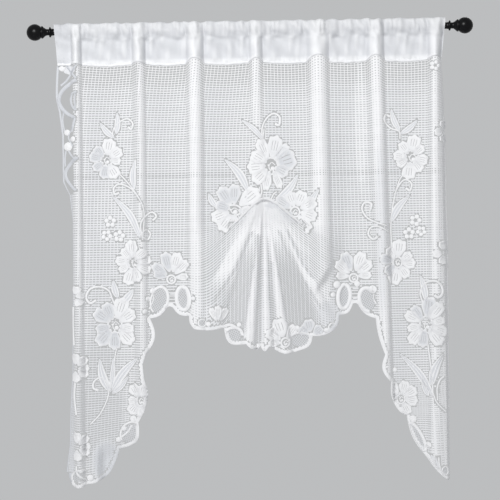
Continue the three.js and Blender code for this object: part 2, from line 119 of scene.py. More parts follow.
# The hem, from the left tail's outer corner: x, z, and how far the arc to the next point swells
HEM = [
    (-455, -1061, 21), (-406, -1086, 2), (-379, -1079, 5), (-347, -1047, 1), (-330, -1004, 23),
    (-283, -939, 14), (-267, -834, 0), (-270, -800, 0), (-261, -775, 16), (-251, -691, 7),
    (-211, -666, -3), (-196, -666, 8), (-157, -686, 5), (-144, -718, 4), (-74, -716, 22),
    (-22, -755, 4), (6, -770, 0), (12, -760, 12), (34, -762, 12), (108, -773, 9),
    (138, -739, 5), (188, -726, 5), (202, -691, 9), (236, -664, -2), (248, -665, 7),
    (290, -700, 4), (310, -786, 14), (324, -852, 7), (337, -915, 3), (361, -934, 10),
    (406, -1033, 5), (461, -1093, 0),
]

# The net's threads
NET_COLUMN, NET_ROW = 8.3, 5.86
BAR_UPRIGHT, BAR_LEVEL = 1.75, 3.15
CLOSE_UPRIGHT, CLOSE_LEVEL = 1.7, 0.6    # how much wider the threads are where the net is close
PRESS_V = 350                            # the level crease left by folding
NEAR_SEAM = (165, 95)                    # the threads grow narrower between these lengths of cloth


# The cloth's shape


def smooth(low, high, value):
    """0 below low, 1 above high, and 3t^2 - 2t^3 between them."""
    t = np.clip((value - low) / (high - low), 0, 1)
    return t * t * (3 - 2 * t)


def bump(offset):
    """cos(offset * pi / 2) from -1 to 1, and 0 outside."""
    return np.where(np.abs(offset) < 1, np.cos(np.clip(offset, -1, 1) * np.pi / 2), 0)


def along(table, value):
    """The table's second column at value in its first one, straight between its lines."""
    places, results = np.array(table, float).T
    return np.interp(value, places, results)


def fold_depth(s, v):
    """How far the upright folds stand forward: the sum of each fold's depth times its share at v
    times a half cosine across it."""
    depth = 0.0
    for centre, _, half, deep, high, middle, low, _ in FOLDS:
        share = np.interp(v, FOLD_LEVELS, (1, high, middle, low))
        depth = depth + deep * share * bump((s - centre) / half)
    return depth


def seam_rise(s):
    """How much higher the seam runs on the folds' crowns."""
    return sum(rise * bump((s - centre) / half) for centre, _, half, _, _, _, _, rise in FOLDS)


def between_folds(s):
    """Where s lies among the folds: 0 at the first one's centre, 1 at the second one's, and so on."""
    return np.interp(s, [fold[0] for fold in FOLDS], np.arange(len(FOLDS)))


def hollow(s):
    """sin(pi * t)^2 with t from 0 to 1 between two neighbouring folds, and 0 outside them."""
    return np.sin(np.pi * between_folds(s)) ** 2


def seam_line(s):
    """How far the seam stands forward at s, and its level."""
    return fold_depth(s, SEAM_V) - PANEL_HOLLOW * hollow(s), SEAM_Z - SEAM_SAG * hollow(s) + seam_rise(s)


def drift(s, v):
    """How far the cloth at s has moved sideways by the length of cloth v."""
    table = [(HEADING_LEFT, FOLDS[0][1])] + [fold[:2] for fold in FOLDS] + [(RIGHT_EDGE, 0)]
    return along(table, s) * np.clip((v - SEAM_V) / (HEM_REACH - SEAM_V), 0, 1)


def tuck_angle(s):
    """How far the tuck is folded at s: pi is fully folded, 0 is flat."""
    aside = np.abs(s - TUCK_X) - TUCK_CROWN
    reach = np.where(s < TUCK_X, TUCK_LEFT, TUCK_RIGHT) - TUCK_CROWN
    return np.pi * np.clip(1 - np.maximum(aside, 0) / reach, 0, 1) ** TUCK_EASE


def through_tuck(v, angle):
    """Drop and forward reach after a length of cloth v: the cloth turns by the angle in one bend,
    runs straight, and turns back in a second bend."""
    angle = np.maximum(angle, 1e-3)
    into = np.clip(v - TUCK_START, 0, TUCK_BEND)
    straight = np.clip(v - TUCK_START - TUCK_BEND, 0, TUCK_LEG - TUCK_BEND)
    out = np.clip(v - TUCK_START - TUCK_LEG, 0, TUCK_BEND)
    rest = np.minimum(v, TUCK_START) + np.maximum(v - TUCK_END, 0)
    rate = angle / TUCK_BEND
    turned_back = angle - rate * out
    billow = 1 - TUCK_BILLOW * np.sin(angle)
    drop = rest + np.sin(rate * into) / rate + straight * np.cos(angle)
    drop = drop + (np.sin(angle) - np.sin(turned_back)) / rate
    forward = (1 - np.cos(rate * into)) / rate + straight * np.sin(angle)
    forward = forward + (np.cos(turned_back) - np.cos(angle)) / rate
    return drop, billow * forward


def fan_slope(x, z):
    """How far out on the fan a point lies: sideways over down from the apex."""
    return (x - TUCK_X) / np.maximum(FAN_APEX - z, 1e-3)


def fan_share(x, z):
    """The highest of the fan's folds at x and z, as a share of each one's height: half cosines
    across the slope from the apex."""
    return np.max([bump((fan_slope(x, z) - at) / half) for at, half, _ in FAN_FOLDS], axis=0)


def fan_relief(x, z):
    """The highest of the fan's folds at x and z, less a furrow between those in the middle."""
    below, slope = np.maximum(FAN_APEX - z, 1e-3), fan_slope(x, z)
    height = np.max([high * bump((slope - at) / half) for at, half, high in FAN_FOLDS], axis=0)
    furrow = FAN_FURROW * smooth(0.6, 0.0, fan_share(x, z)) * smooth(0.5, 0.36, np.abs(slope))
    return (height - furrow) * np.minimum(below / FAN_RISE, 1) * smooth(20, 110, below)


def fine_pleats(x, z):
    """Small pleats that run out from the tuck and fade below it."""
    below = np.maximum(FAN_APEX - z, 20)
    slope = (x - TUCK_X) / below
    wave = np.sin(2 * np.pi * slope / 0.15 + 0.6) + 0.7 * np.sin(2 * np.pi * slope / 0.243)
    return 2.1 * wave * np.exp(-below / 190) * smooth(10, 130, below) * (np.abs(slope) < 1.3)


def soft_waves(s, v):
    """The slight unevenness of cloth that hangs: three crossing waves of 0.5 mm and less."""
    return (
        0.5 * np.sin(0.052 * s + 1.9 * np.sin(0.011 * v))
        + 0.35 * np.sin(0.021 * v + 0.017 * s + 1.3)
        + 0.25 * np.sin(0.043 * v - 0.06 * s)
    )


def closeness(s, v):
    """From 0 to 1, how closely the net lies together at s and v: on the crowns of the upright
    folds, on those of the fan, where the cloth is gathered under the tuck, and at the borders."""
    crowns = []
    for fold, crown, shift in zip(FOLDS, FOLD_CROWNS, FOLD_SHIFTS):
        centre, _, half, _, high, middle, low, _ = fold
        share = np.minimum(1, np.interp(v, FOLD_LEVELS, (1, high, middle, low)))
        crowns.append(share * smooth(crown + 0.22, crown - 0.1, np.abs(s - centre - shift) / half))
    # The first fold's crown is close in its upper part only
    crowns[0] = crowns[0] * smooth(760, 640, v)
    edges = np.maximum(smooth(LEFT_EDGE - 2, LEFT_EDGE - 9, s), smooth(RIGHT_EDGE - 12, RIGHT_EDGE, s))
    x, _, z = front(s, v)
    below, slope = FAN_APEX - z, fan_slope(x, z)
    in_fan = smooth(TUCK_START + TUCK_BEND, TUCK_END, v) * np.minimum(1, 3 * tuck_angle(s) / np.pi)
    gathered = smooth(190, 90, below) * smooth(0.85, 0.45, np.abs(slope))
    ridge = smooth(0.2, 0.6, fan_share(x, z)) * np.where(slope < -0.25, smooth(255, 190, below), 1)
    upright = np.maximum(np.max(crowns, axis=0), 0.8 * edges)
    return np.maximum(upright * (1 - in_fan), in_fan * np.maximum(gathered, ridge))


# Where the cloth lies in shade or double: x, z, reach across and down, how close the net lies, and how
# much painted shade it gets, which also narrows the level threads
SHADE_AND_LAYERS = [
    (-362, -1034, 40, 62, 0.95, 0.75), (176, -694, 40, 46, 0.6, 0.55), (206, -400, 20, 270, 0.0, 0.4),
    (306, -480, 14, 250, 0.3, 0.35), (-345, -440, 44, 90, 0.2, 0.25), (-105, -690, 30, 34, 0.4, 0.4),
    (45, -426, 20, 8, 0.0, 0.4), (262, -230, 17, 190, 0.4, 0.0), (-372, -900, 64, 215, 0.0, 0.62),
]


def layered_and_shaded(x, z):
    """How close the cloth lies in each of the shaded or doubled places, and how much painted shade it
    gets
    there, each an oval with soft edges: its share goes smoothly from 0 to 1 as 1 - r^2 goes from 0 to
    0.6."""
    close, thin = 0.0, 0.0
    for x0, z0, across, down, how_close, how_shaded in SHADE_AND_LAYERS:
        share = smooth(0, 0.6, 1 - ((x - x0) / across) ** 2 - ((z - z0) / down) ** 2)
        close, thin = np.maximum(close, how_close * share), np.maximum(thin, how_shaded * share)
    return close, thin


# Lines of painted shade in narrow valleys between the fan's folds, where the threads are also narrower: x
# and z at the top, x and z at the foot, half width
FAN_SHADE_LINES = [
    (-4, -488, -45, -577, 4.0), (-45, -577, -98, -652, 4.0), (12, -495, 10, -745, 6.5),
    (40, -560, 39, -650, 5.0), (62, -486, 79, -540, 3.4), (79, -540, 160, -676, 4.0),
    (80, -485, 116, -565, 3.4), (116, -565, 140, -600, 3.2),
]


def fan_shade(x, z, v):
    """How much painted shade the net gets in the fan, where its threads are also drawn narrower:
    between its folds, most on the right of the middle ones, and along lines in the narrow valleys."""
    slope = fan_slope(x, z)
    aside = smooth(-0.5, -0.3, slope) * smooth(0.43, 0.36, slope)
    much = np.interp(slope, (-0.25, -0.1, 0.13, 0.2), (0.6, 0.6, 0.9, 1.0))
    shade = much * aside * smooth(100, 210, FAN_APEX - z) * smooth(0.7, 0.1, fan_share(x, z))
    for top_x, top_z, foot_x, foot_z, half in FAN_SHADE_LINES:
        t = np.clip((top_z - z) / (top_z - foot_z), 0, 1)
        off = np.abs(x - top_x - (foot_x - top_x) * t)
        inside = (z < top_z + 1) & (z > foot_z - 1)
        shade = np.maximum(shade, 0.9 * smooth(2.1 * half, 0.2 * half, off) * inside)
    return shade * smooth(TUCK_END - 30, TUCK_END - 10, v)


def panel_shade(s):
    """How much painted shade the net gets across each panel: most just to the right of a fold, where that
    fold's shadow falls.
    """
    t = between_folds(s) % 1
    return 0.26 * smooth(0.1, 0.2, t) * smooth(0.85, 0.25, t)


def swagged(x, z, v):
    """Where the net is drawn up sideways to the tuck, so that its upright threads are narrow: beyond
    the fan's outer folds."""
    slope = np.abs(fan_slope(x, z))
    below = smooth(TUCK_END - 20, TUCK_END + 10, v)
    return smooth(0.52, 0.66, slope) * smooth(2.0, 1.4, slope) * below


def hung(s, v):
    """The front of the curtain at s and v, as x, y and z. s is where a point of the cloth would lie
    from left to right with no drift, and v the length of cloth above it, from the rod's axis. The
    depth is the sum of the upright folds, the tuck's reach, the fan's relief and soft waves, less
    the hollows between folds and the step of the left tail."""
    angle = tuck_angle(s)
    drop, forward = through_tuck(v, angle)
    in_fan = smooth(TUCK_START + TUCK_BEND, TUCK_END, v)
    spread = np.clip((v - TUCK_END) / (FAN_REACH - TUCK_END), 0, 1)
    aside = s - TUCK_X
    pull = PULL_SHARE * np.clip(1 - np.abs(aside) / PULL_REACH, 0, 1) * in_fan * (1 - spread)
    x = s + drift(s, v) - aside * pull
    z = -drop + (seam_rise(s) - SEAM_SAG * hollow(s)) * np.exp((SEAM_V - v) / SEAM_REACH)
    for centre, half, deep, low, high in SWAGS:
        z = z - deep * bump((s - centre) / half) * smooth(low, high, v)
    for outer, inner, low, high, lift in TAILS:
        z = z + lift * np.clip((s - outer) / (inner - outer), 0, 1) * smooth(low, high, v)
    (left_x, left_z), (right_x, right_z) = FOLD_END_LEFT, FOLD_END_RIGHT
    across = np.clip((x - left_x) / (right_x - left_x), -0.3, 1.3)
    end_z = left_z + (right_z - left_z) * across
    ended = smooth(end_z - FOLD_END_BLEND, end_z, z)
    folds = fold_depth(s, v) * np.where(np.abs(s - FOLD_END_X) < FOLD_END_REACH, ended, 1)
    drawn = angle / np.pi
    step = smooth(STEP_X, STEP_X + STEP_WIDTH, x) * smooth(STEP_FROM, STEP_TO, v)
    back_step = np.where(x < FOLDS[1][0], STEP_BACK * step, 0)
    relief = (fan_relief(x, z) + fine_pleats(x, z)) * in_fan * np.minimum(1, 3 * drawn)
    depth = folds * (1 - 0.45 * in_fan * drawn) - PANEL_HOLLOW * hollow(s)
    depth = depth + forward * (1 - 0.5 * spread) + relief - back_step
    depth = depth + soft_waves(s, v) * smooth(SEAM_V, SEAM_V + 60, v)
    return x, -depth, z


def front(s, v):
    """The hung front at s and v, with s kept between the two side borders."""
    return hung(np.clip(s, LEFT_EDGE, RIGHT_EDGE), v)


def cloth(s, v):
    """A point of the whole panel: the hung front, and past its edges the borders, which turn back
    from it by their angle at v. Gives an array with x, y and z last."""
    s, v = np.broadcast_arrays(np.asarray(s, float), np.asarray(v, float))
    x, y, z = front(s, v)
    left, right = np.maximum(LEFT_EDGE - s, 0), np.maximum(s - RIGHT_EDGE, 0)
    left_turn = np.radians(along(LEFT_TURNS, v))
    right_turn = np.radians(along(RIGHT_TURNS, v))
    x = x - left * np.cos(left_turn) + right * np.cos(right_turn)
    y = y + left * np.sin(left_turn) + right * np.sin(right_turn)
    return np.stack([x, y, z], axis=-1)


def cloth_out(s, v):
    """The cloth's direction out of its front: the cross product of its two slopes."""
    across = cloth(s + 0.4, v) - cloth(s - 0.4, v)
    down = cloth(s, v + 0.4) - cloth(s, v - 0.4)
    out = np.cross(down, across)
    return out / np.maximum(np.linalg.norm(out, axis=-1, keepdims=True), 1e-9)


def locate(x, z, in_fan):
    """The s and v at which the cloth hangs at x and z, by twelve of Newton's steps, none over 9 mm.
    Above the tuck it stays on the upper cloth, and in the fan below it."""
    low = np.where(in_fan, TUCK_END + 1.0, SEAM_V + 1.0)
    turned_up = tuck_angle(x) > 0.48 * np.pi
    high = np.where(in_fan | ~turned_up | (z < -560), HEM_REACH + 20.0, TUCK_START + 1.0)
    v = -z + np.where(in_fan, TUCK_HIDES * tuck_angle(x) / np.pi, 0)
    s = x - drift(x, v)
    first, last = LEFT_EDGE - LEFT_WIDTH, RIGHT_EDGE + RIGHT_WIDTH
    for _ in range(12):
        s, v = np.clip(s, first, last), np.clip(v, low, high)
        here = cloth(s, v)
        by_s = (cloth(s + 0.3, v) - here) / 0.3
        by_v = (cloth(s, v + 0.3) - here) / 0.3
        miss_x, miss_z = x - here[..., 0], z - here[..., 2]
        scale = by_s[..., 0] * by_v[..., 2] - by_v[..., 0] * by_s[..., 2]
        scale = np.where(np.abs(scale) < 0.15, -0.15, scale)
        step_s = (miss_x * by_v[..., 2] - miss_z * by_v[..., 0]) / scale
        step_v = (miss_z * by_s[..., 0] - miss_x * by_s[..., 2]) / scale
        s, v = s + np.clip(step_s, -9, 9), v + np.clip(step_v, -9, 9)
    return np.clip(s, first, last), np.clip(v, low, high)


def border_edges(v):
    """Where the two borders' lobed edges lie at v: |cos| waves added to their width."""
    lobe = BORDER_LOBE * np.abs(np.cos(np.pi * (v - BORDER_MIDDLE) / BORDER_PITCH))
    return LEFT_EDGE - LEFT_WIDTH + BORDER_LOBE - lobe, RIGHT_EDGE + RIGHT_WIDTH - BORDER_LOBE + lobe


def hem_line(steps=24):
    """The hem's points: each arc is its chord plus bulge * sin(pi * t) at right angles to it."""
    points = np.array(HEM, float)
    start, bulge, run = points[:-1, :2], points[:-1, 2], np.diff(points[:, :2], axis=0)
    outward = np.stack([run[:, 1], -run[:, 0]], axis=1)
    outward /= np.linalg.norm(outward, axis=1, keepdims=True)
    t = np.arange(steps) / steps
    swell = (bulge[:, None] * np.sin(np.pi * t))[..., None] * outward[:, None]
    line = start[:, None] + t[None, :, None] * run[:, None] + swell
    return np.vstack([line.reshape(-1, 2), points[-1:, :2]])


def above_hem(x, z):
    """True where a point lies above the hem: an upward ray crosses the closed outline an odd
    number of times."""
    line = hem_line()
    corners = np.vstack([line, [(700, -1093), (700, 300), (-700, 300), (-700, -1061)]])
    inside = np.zeros(np.shape(x), bool)
    for (x0, z0), (x1, z1) in zip(corners, np.roll(corners, -1, axis=0)):
        if x0 != x1:
            crossed = (x0 > x) != (x1 > x)
            inside ^= crossed & (z < z0 + (z1 - z0) * (x - x0) / (x1 - x0))
    return inside


# Meshes


def grid_faces(rows, columns, closed=False):
    """Four corners for each square of a grid, row by row, and round again if it is closed."""
    r, c = np.meshgrid(np.arange(rows - 1), np.arange(columns - (not closed)), indexing="ij")
    after = (c + 1) % columns
    faces = [r * columns + c, (r + 1) * columns + c, (r + 1) * columns + after, r * columns + after]
    return np.stack(faces, axis=-1).reshape(-1, 4)


def make_piece(name, points, faces, uv=None, fill=None):
    """A mesh object from points in millimetres and four-cornered faces, with the place of each
    point on the flat cloth and its fill where they are given."""
    faces = np.asarray(faces, np.int32)
    mesh = bpy.data.meshes.new(name)
    mesh.vertices.add(len(points))
    mesh.vertices.foreach_set("co", (np.asarray(points, np.float32) * MM).ravel())
    mesh.loops.add(faces.size)
    mesh.loops.foreach_set("vertex_index", faces.ravel())
    mesh.polygons.add(len(faces))
    mesh.polygons.foreach_set("loop_start", np.arange(0, faces.size, 4, dtype=np.int32))
    mesh.update(calc_edges=True)
    if uv is not None:
        layer = mesh.uv_layers.new(name="cloth")
        layer.data.foreach_set("uv", np.asarray(uv, np.float32)[faces.ravel()].ravel())
    if fill is not None:
        layer = mesh.attributes.new("fill", "FLOAT", "POINT")
        layer.data.foreach_set("value", np.asarray(fill, np.float32))
    mesh.polygons.foreach_set("use_smooth", np.ones(len(faces), bool))
    mesh.validate()
    piece = bpy.data.objects.new(name, mesh)
    bpy.context.scene.collection.objects.link(piece)
    return piece


# Worked motifs


class Needlework:
    """Collects the motifs' grids until they are laid on the cloth. Each motif is drawn on the hung
    curtain's plane, as x and z, with its height over the cloth, how closely it is filled, and
    whether it lies on the fan."""

    def __init__(self):
        self.parts = []
        self.count = 0
        self.faces = []

    def add(self, x, z, height, fill, in_fan, faces=None):
        """Adds many equal grids at once: the arrays have one line for each grid."""
        x, z, height, fill, in_fan = np.broadcast_arrays(x, z, height, fill, in_fan)
        if faces is None:
            faces = grid_faces(*x.shape[1:])[:, ::-1]
        copies, size = x.shape[0], int(np.prod(x.shape[1:]))
        columns = [a.reshape(-1).astype(float) for a in (x, z, height, fill, in_fan)]
        self.parts.append(np.stack(columns, axis=1))
        starts = self.count + size * np.arange(copies)
        self.faces.append((starts[:, None, None] + faces[None]).reshape(-1, 4))
        self.count += copies * size

    def finished(self):
        """All points as one table, and all faces."""
        return np.vstack(self.parts), np.vstack(self.faces)


# A petal's grid across and along, and the squares that its open slots take out of it
PETAL_ACROSS = np.array(
    [-1, -0.9, -0.74, -0.57, -0.405, -0.335, -0.18, -0.035, 0.035, 0.18, 0.335, 0.405, 0.57, 0.74, 0.9, 1]
)
PETAL_ALONG = np.array([-1, -0.85, -0.6, -0.3, 0, 0.3, 0.55, 0.74, 0.9, 1])
PETAL_SLOTS, SLOT_ROWS = (4, 7, 10), slice(3, 6)


def columns_of(table):
    """The table's columns, each shaped so that it spreads over a grid for every line."""
    return np.array(table, float).T[..., None, None]


def leaned(x, z, aside, up, degrees):
    """The point that lies aside of and up from x and z, on axes that lean to the right by the
    angle."""
    turn = np.radians(degrees)
    return x + aside * np.cos(turn) + up * np.sin(turn), z - aside * np.sin(turn) + up * np.cos(turn)


def petal_faces(slots):
    """A petal's squares, without those of its open slots between the ribs."""
    rows, columns = len(PETAL_ALONG), len(PETAL_ACROSS)
    faces = grid_faces(rows, columns)[:, ::-1].reshape(rows - 1, columns - 1, 4)
    keep = np.ones((rows - 1, columns - 1), bool)
    for slot in slots:
        keep[SLOT_ROWS, slot] = False
    return faces[keep]


def drawn_round(t, q, much=0.5):
    """The square from -1 to 1 with its corners drawn in: across is q * sqrt(1 - much * t^2) and
    along is t * sqrt(1 - much * q^2). Half makes a disc."""
    return q * np.sqrt(1 - much * t * t), t * np.sqrt(1 - much * q * q)


def add_petals(work, table, slots=PETAL_SLOTS):
    """Petals from lines of heart x, heart z, angle, length, half width, fill, fan: discs that narrow
    towards the heart, with small lobes at the outer end, ribs along them and a raised rim. Every
    second one lies a little higher, so that neighbours can cross."""
    x, z, angle, length, half, fill, fan = columns_of(table)
    t, q = PETAL_ALONG[None, :, None], PETAL_ACROSS[None, None, :]
    across, out = drawn_round(t, q, 0.4)
    edge = np.maximum(np.abs(q), np.abs(t))
    lobes = 1 + 0.07 * np.cos(7 * np.arctan2(across, out) + angle) * edge**4 * smooth(-0.3, 0.3, out)
    side = half * across * lobes * (0.45 + 0.55 * smooth(-1, 0.25, out))
    away = length * (0.61 + 0.39 * out * lobes)
    ribs = np.cos(2 * np.pi * (np.abs(q) - 0.18) / 0.38) * (edge < 0.7)
    rim = smooth(0.5, 0.84, edge)
    height = 0.9 + 0.9 * fill + 0.5 * ribs + 1.3 * rim + 0.9 * smooth(0, 1, out) - 2.2 * (edge > 0.99)
    height = height + 0.5 * (np.arange(len(table)) % 2)[:, None, None]
    # Painted shade: a petal's fill, and so its colour, is a little darker towards its heart; thin petals
    # keep a closer, whiter rim
    filled = fill * (0.86 + 0.14 * smooth(-0.9, 0.1, out)) + 0.8 * (1 - fill) * smooth(0.66, 0.84, edge)
    work.add(*leaned(x, z, side, away, angle), height, filled, fan, petal_faces(slots))


def add_patches(work, table):
    """Closely worked thin places from lines of x, z, half width, half height, lean, fill, fan."""
    x, z, across, up, lean, fill, fan = columns_of(table)
    places = np.linspace(-1, 1, 9)
    flat_x, flat_z = drawn_round(places[None, :, None], places[None, None, :])
    wavy = 1 + 0.06 * np.cos(6 * np.arctan2(flat_x, flat_z))
    spots = leaned(x, z, across * flat_x * wavy, up * flat_z * wavy, lean)
    work.add(*spots, 0.5, fill, fan)


TALLER = 0.28


def spread_petals(flowers):
    """Each flower's petals, set round its heart over its spread from its first angle. W and w are
    closely filled petals and G and g thinner ones; small letters are shorter petals. A petal that
    points straight up or down is longer by the share TALLER."""
    table = []
    for x, z, length, first, spread, kinds, fan in flowers:
        gaps = len(kinds) if spread == 360 else len(kinds) - 1
        for k, kind in enumerate(kinds):
            angle = first + spread * k / gaps + 5 * math.sin(2.4 * k + x)
            upright = 1 + TALLER * math.cos(math.radians(angle)) ** 2
            reach = length * upright * (1.0 if kind.isupper() else 0.86)
            room = 0.72 * reach * math.tan(math.radians(spread / gaps / 2))
            half = min(0.42 * length, room * (1.1 if kind.isupper() else 1.0))
            table.append((x, z, angle, reach, half, 0.97 if kind in "wW" else 0.3, fan))
    return table


def add_small_flowers(work, flowers):
    """Small bright flowers from lines of x, z, petal length, first angle: five round raised petals
    about an open heart."""
    petals = []
    for x, z, length, first in flowers:
        for k in range(5):
            petal_x, petal_z = leaned(x, z, 0, 0.62 * length, first + 72 * k)
            petals.append((petal_x, petal_z, 0.37 * length, 0))
    add_berries(work, petals)


def add_round(work, middle, reach, lift, fill, fan, steps):
    """Round grids about their middles: reach is how far out each ring lies, as x and z, and lift
    how high."""
    turn = np.linspace(0, 2 * np.pi, steps + 1)[None, None, :-1]
    x, z = middle[0] + reach[0] * np.sin(turn), middle[1] + reach[1] * np.cos(turn)
    faces = grid_faces(x.shape[1], steps, closed=True)
    outward = reach[0][0, 0, 0] < reach[0][0, -1, 0]
    work.add(x, z, lift + 0 * turn, fill, fan, faces[:, ::-1] if outward else faces)


def add_rings(work, table):
    """Raised rings from lines of x, z, radius across, radius up, width, fill, fan: a half-round
    profile carried round an ellipse."""
    x, z, across, up, width, fill, fan = columns_of(table)
    lift = np.array([0.2, 1.6, 2.0, 1.6, 0.2])[None, :, None]
    share = np.array([-0.5, -0.28, 0, 0.28, 0.5])[None, :, None]
    add_round(work, (x, z), (across + share * width, up + share * width), lift, fill, fan, 16)


def add_berries(work, table):
    """Round raised dots from lines of x, z, radius, fan: rings that rise to the middle."""
    x, z, radius, fan = columns_of(table)
    reach = radius * np.array([1, 0.9, 0.55, 0.02])[None, :, None]
    lift = np.array([0.1, 0.5, 0.9, 1.0])[None, :, None] * radius * 0.5 + 0.4
    add_round(work, (x, z), (reach, reach), lift, 1.0, fan, 10)


# A leaf's grid along and across
LEAF_ALONG = np.linspace(0, 1, 13)
LEAF_ACROSS = np.array([-1, -0.84, -0.66, -0.5, -0.2, -0.08, 0.08, 0.2, 0.5, 0.66, 0.84, 1])


def add_leaves(work, table):
    """Leaves from lines of base x, base z, tip x, tip z, half width, bend, fan: a bent middle line,
    with a width of sin(pi * t^0.8)^0.9 across it, a close rim and vein, and thin work between."""
    x0, z0, x1, z1, half, bend, fan = columns_of(table)
    t, q = LEAF_ALONG[None, :, None], LEAF_ACROSS[None, None, :]
    run_x, run_z = x1 - x0, z1 - z0
    size = np.hypot(run_x, run_z)
    side_x, side_z = run_z / size, -run_x / size
    width = half * np.sin(np.pi * np.clip(t, 0, 1) ** 0.8) ** 0.9 + 1.3
    off = bend * np.sin(np.pi * t) + width * q
    close = np.maximum(smooth(0.55, 0.64, np.abs(q)), smooth(0.18, 0.1, np.abs(q)))
    height = 0.6 + 1.3 * close - 1.6 * (np.abs(q) > 0.99)
    leaf_x, leaf_z = x0 + run_x * t + side_x * off, z0 + run_z * t + side_z * off
    work.add(leaf_x, leaf_z, height, 0.3 + 0.7 * close, fan)


CORD_STEPS = 26
# A cord's profile: places across it as shares of its width, and how high it lies there
CORD_SHARE = np.array([-0.5, -0.34, 0, 0.34, 0.5])
CORD_LIFT = np.array([0.1, 0.75, 1.0, 0.75, 0.1])


def soft_curve(points, place):
    """A soft line through the points, by Catmull and Rom's cubic between each two of them. place is
    0 at the first point, 1 at the second one, and so on."""
    points = np.array(points, float)
    ends = np.concatenate([2 * points[:1] - points[1:2], points, 2 * points[-1:] - points[-2:-1]])
    k = np.minimum(place.astype(int), len(points) - 2)
    t = (place - k).reshape(-1, *[1] * (points.ndim - 1))
    a, b, c, d = ends[k], ends[k + 1], ends[k + 2], ends[k + 3]
    line = 2 * b + (c - a) * t + (2 * a - 5 * b + 4 * c - d) * t**2
    return 0.5 * (line + (3 * b - a - 3 * c + d) * t**3)


def direction(line):
    """The direction of a line at each of its points, of length 1."""
    slope = np.gradient(line, axis=0)
    return slope / np.maximum(np.linalg.norm(slope, axis=1, keepdims=True), 1e-9)


def cord_grid(line, width):
    """A flat cord along a line: for each point of it, five points across, with its width there."""
    slope = direction(line)
    side = np.stack([slope[:, 1], -slope[:, 0]], axis=1)
    points = line[:, None] + (CORD_SHARE[None, :] * width[:, None])[..., None] * side[:, None]
    return points[..., 0], points[..., 1], CORD_LIFT[None] * width[:, None] * 0.55 + 0.3


def add_cords(work, cords, steps=CORD_STEPS, fill=1.0):
    """Cords from lines of start width, end width, fan and points."""
    for first, last, fan, points in cords:
        line = soft_curve(points, np.linspace(0, len(points) - 1, steps))
        x, z, lift = cord_grid(line, np.linspace(first, last, steps))
        work.add(x[None], z[None], lift[None], fill, fan)


def add_diamond_net(work, ovals, pitch=4.6, width=1.15):
    """The fine net inside the ovals: straight threads two ways, each as long as the oval's chord."""
    t = np.linspace(-1, 1, 7)
    faces = grid_faces(len(t), 2)
    for x, z, across, up, turn, fan in ovals:
        for lean in (math.radians(48), math.radians(-48)):
            aim_x, aim_z = math.cos(lean), math.sin(lean)
            reach = math.hypot(across * aim_z, up * aim_x)
            offsets = np.arange(-reach + pitch / 2, reach, pitch)
            scale = (aim_x / across) ** 2 + (aim_z / up) ** 2
            cross = offsets * (aim_x * -aim_z / across**2 + aim_z * aim_x / up**2)
            rest = (aim_z / across) ** 2 + (aim_x / up) ** 2
            root = np.sqrt(np.maximum(cross**2 - scale * (offsets**2 * rest - 1), 0))
            middle, chord = -cross / scale, root / scale
            place = middle[:, None] + chord[:, None] * t[None]
            side = np.array([-0.5, 0.5]) * width
            away = offsets[:, None, None] + side[None, None]
            flat_x = place[..., None] * aim_x - away * aim_z
            flat_z = place[..., None] * aim_z + away * aim_x
            work.add(*leaned(x, z, flat_x, flat_z, turn), 0.2, 0.35, fan, faces)


def oval_cord(x, z, across, up, turn, width, fan, first=0, last=360):
    """A cord round an oval, or round the part of it between two angles from its top."""
    angles = np.radians(np.linspace(first, last, 17))
    line = leaned(x, z, across * np.sin(angles), up * np.cos(angles), turn)
    return (width, width, fan, np.stack(line, axis=1))


# Flowers: x, z, petal length, first petal's angle, spread, fills, on the fan
FLOWERS = [
    (-350, -309, 41, -80, 360, "GgWWwWgg", 0),
    (-289, -557, 43, -80, 360, "WwWwWWwWw", 0),
    (-336, -705, 54, 20, 360, "WWwWgGgGg", 0),
    (381, -314, 42, -80, 360, "WwWwWwWw", 0),
    (345, -566, 43, 10, 360, "WwWwWgGw", 0),
    (410, -715, 52, 5, 360, "GWwWWgWwWg", 0),
    (-199, -594, 50, -82, 164, "gGGWWw", 0),
    (239, -598, 50, -88, 176, "wWGWWw", 0),
    (-276, -887, 36, -190, 260, "wWwWwW", 0),
    (348, -893, 40, -80, 230, "wWwWWw", 0),
    (-87, -708, 42, -28, 56, "www", 1),
    (70, -752, 46, -100, 130, "wWWw", 1),
    (134, -738, 36, -60, 110, "ggg", 1),
]
# Flowers round the tuck: x and z of the heart, then each petal's angle, length, half width, fill
CENTRE_PETALS = [
    (45, -328, [
        (72, 62, 27, 0.25), (118, 46, 16, 0.5), (-24, 68, 15, 0.95), (12, 72, 18, 0.8), (40, 64, 13, 0.6),
        (-58, 54, 17, 1), (-95, 56, 19, 1), (-134, 58, 17, 1), (-166, 62, 11, 0.95), (158, 60, 10, 0.9),
    ]),
    (-45, -434, [
        (-32, 64, 17, 0.35), (2, 62, 16, 0.4), (51, 76, 21, 1), (-72, 46, 15, 0.3),
        (-112, 58, 17, 1), (-146, 60, 18, 1), (178, 46, 13, 0.95), (96, 44, 13, 0.9),
    ]),
    (103, -438, [
        (-58, 56, 15, 0.5), (-20, 48, 15, 0.95), (22, 50, 17, 1), (66, 54, 17, 1),
        (110, 52, 16, 0.95), (150, 60, 17, 1), (-168, 60, 15, 1), (-118, 40, 12, 0.3),
    ]),
]
# Half flowers of the two side borders, in the same order
EDGE_FLOWERS = [
    (-430, -636, 24, 20, 120, "www", 0), (-430, -806, 31, 5, 170, "wWWWw", 0),
    (-430, -994, 31, 5, 170, "wWWWw", 0), (461, -254, 24, -172, 160, "wWw", 0),
    (455, -545, 26, -172, 160, "wWw", 0),
]
# Small flowers: x, z, petal length, first petal's angle
SMALL_FLOWERS = [
    (-343, -457, 15, 0), (-352, -490, 14, 30), (-322, -492, 15, 10),
    (390, -466, 15, 20), (374, -497, 15, 0), (403, -492, 13, 40), (441, -97, 13, 20),
]
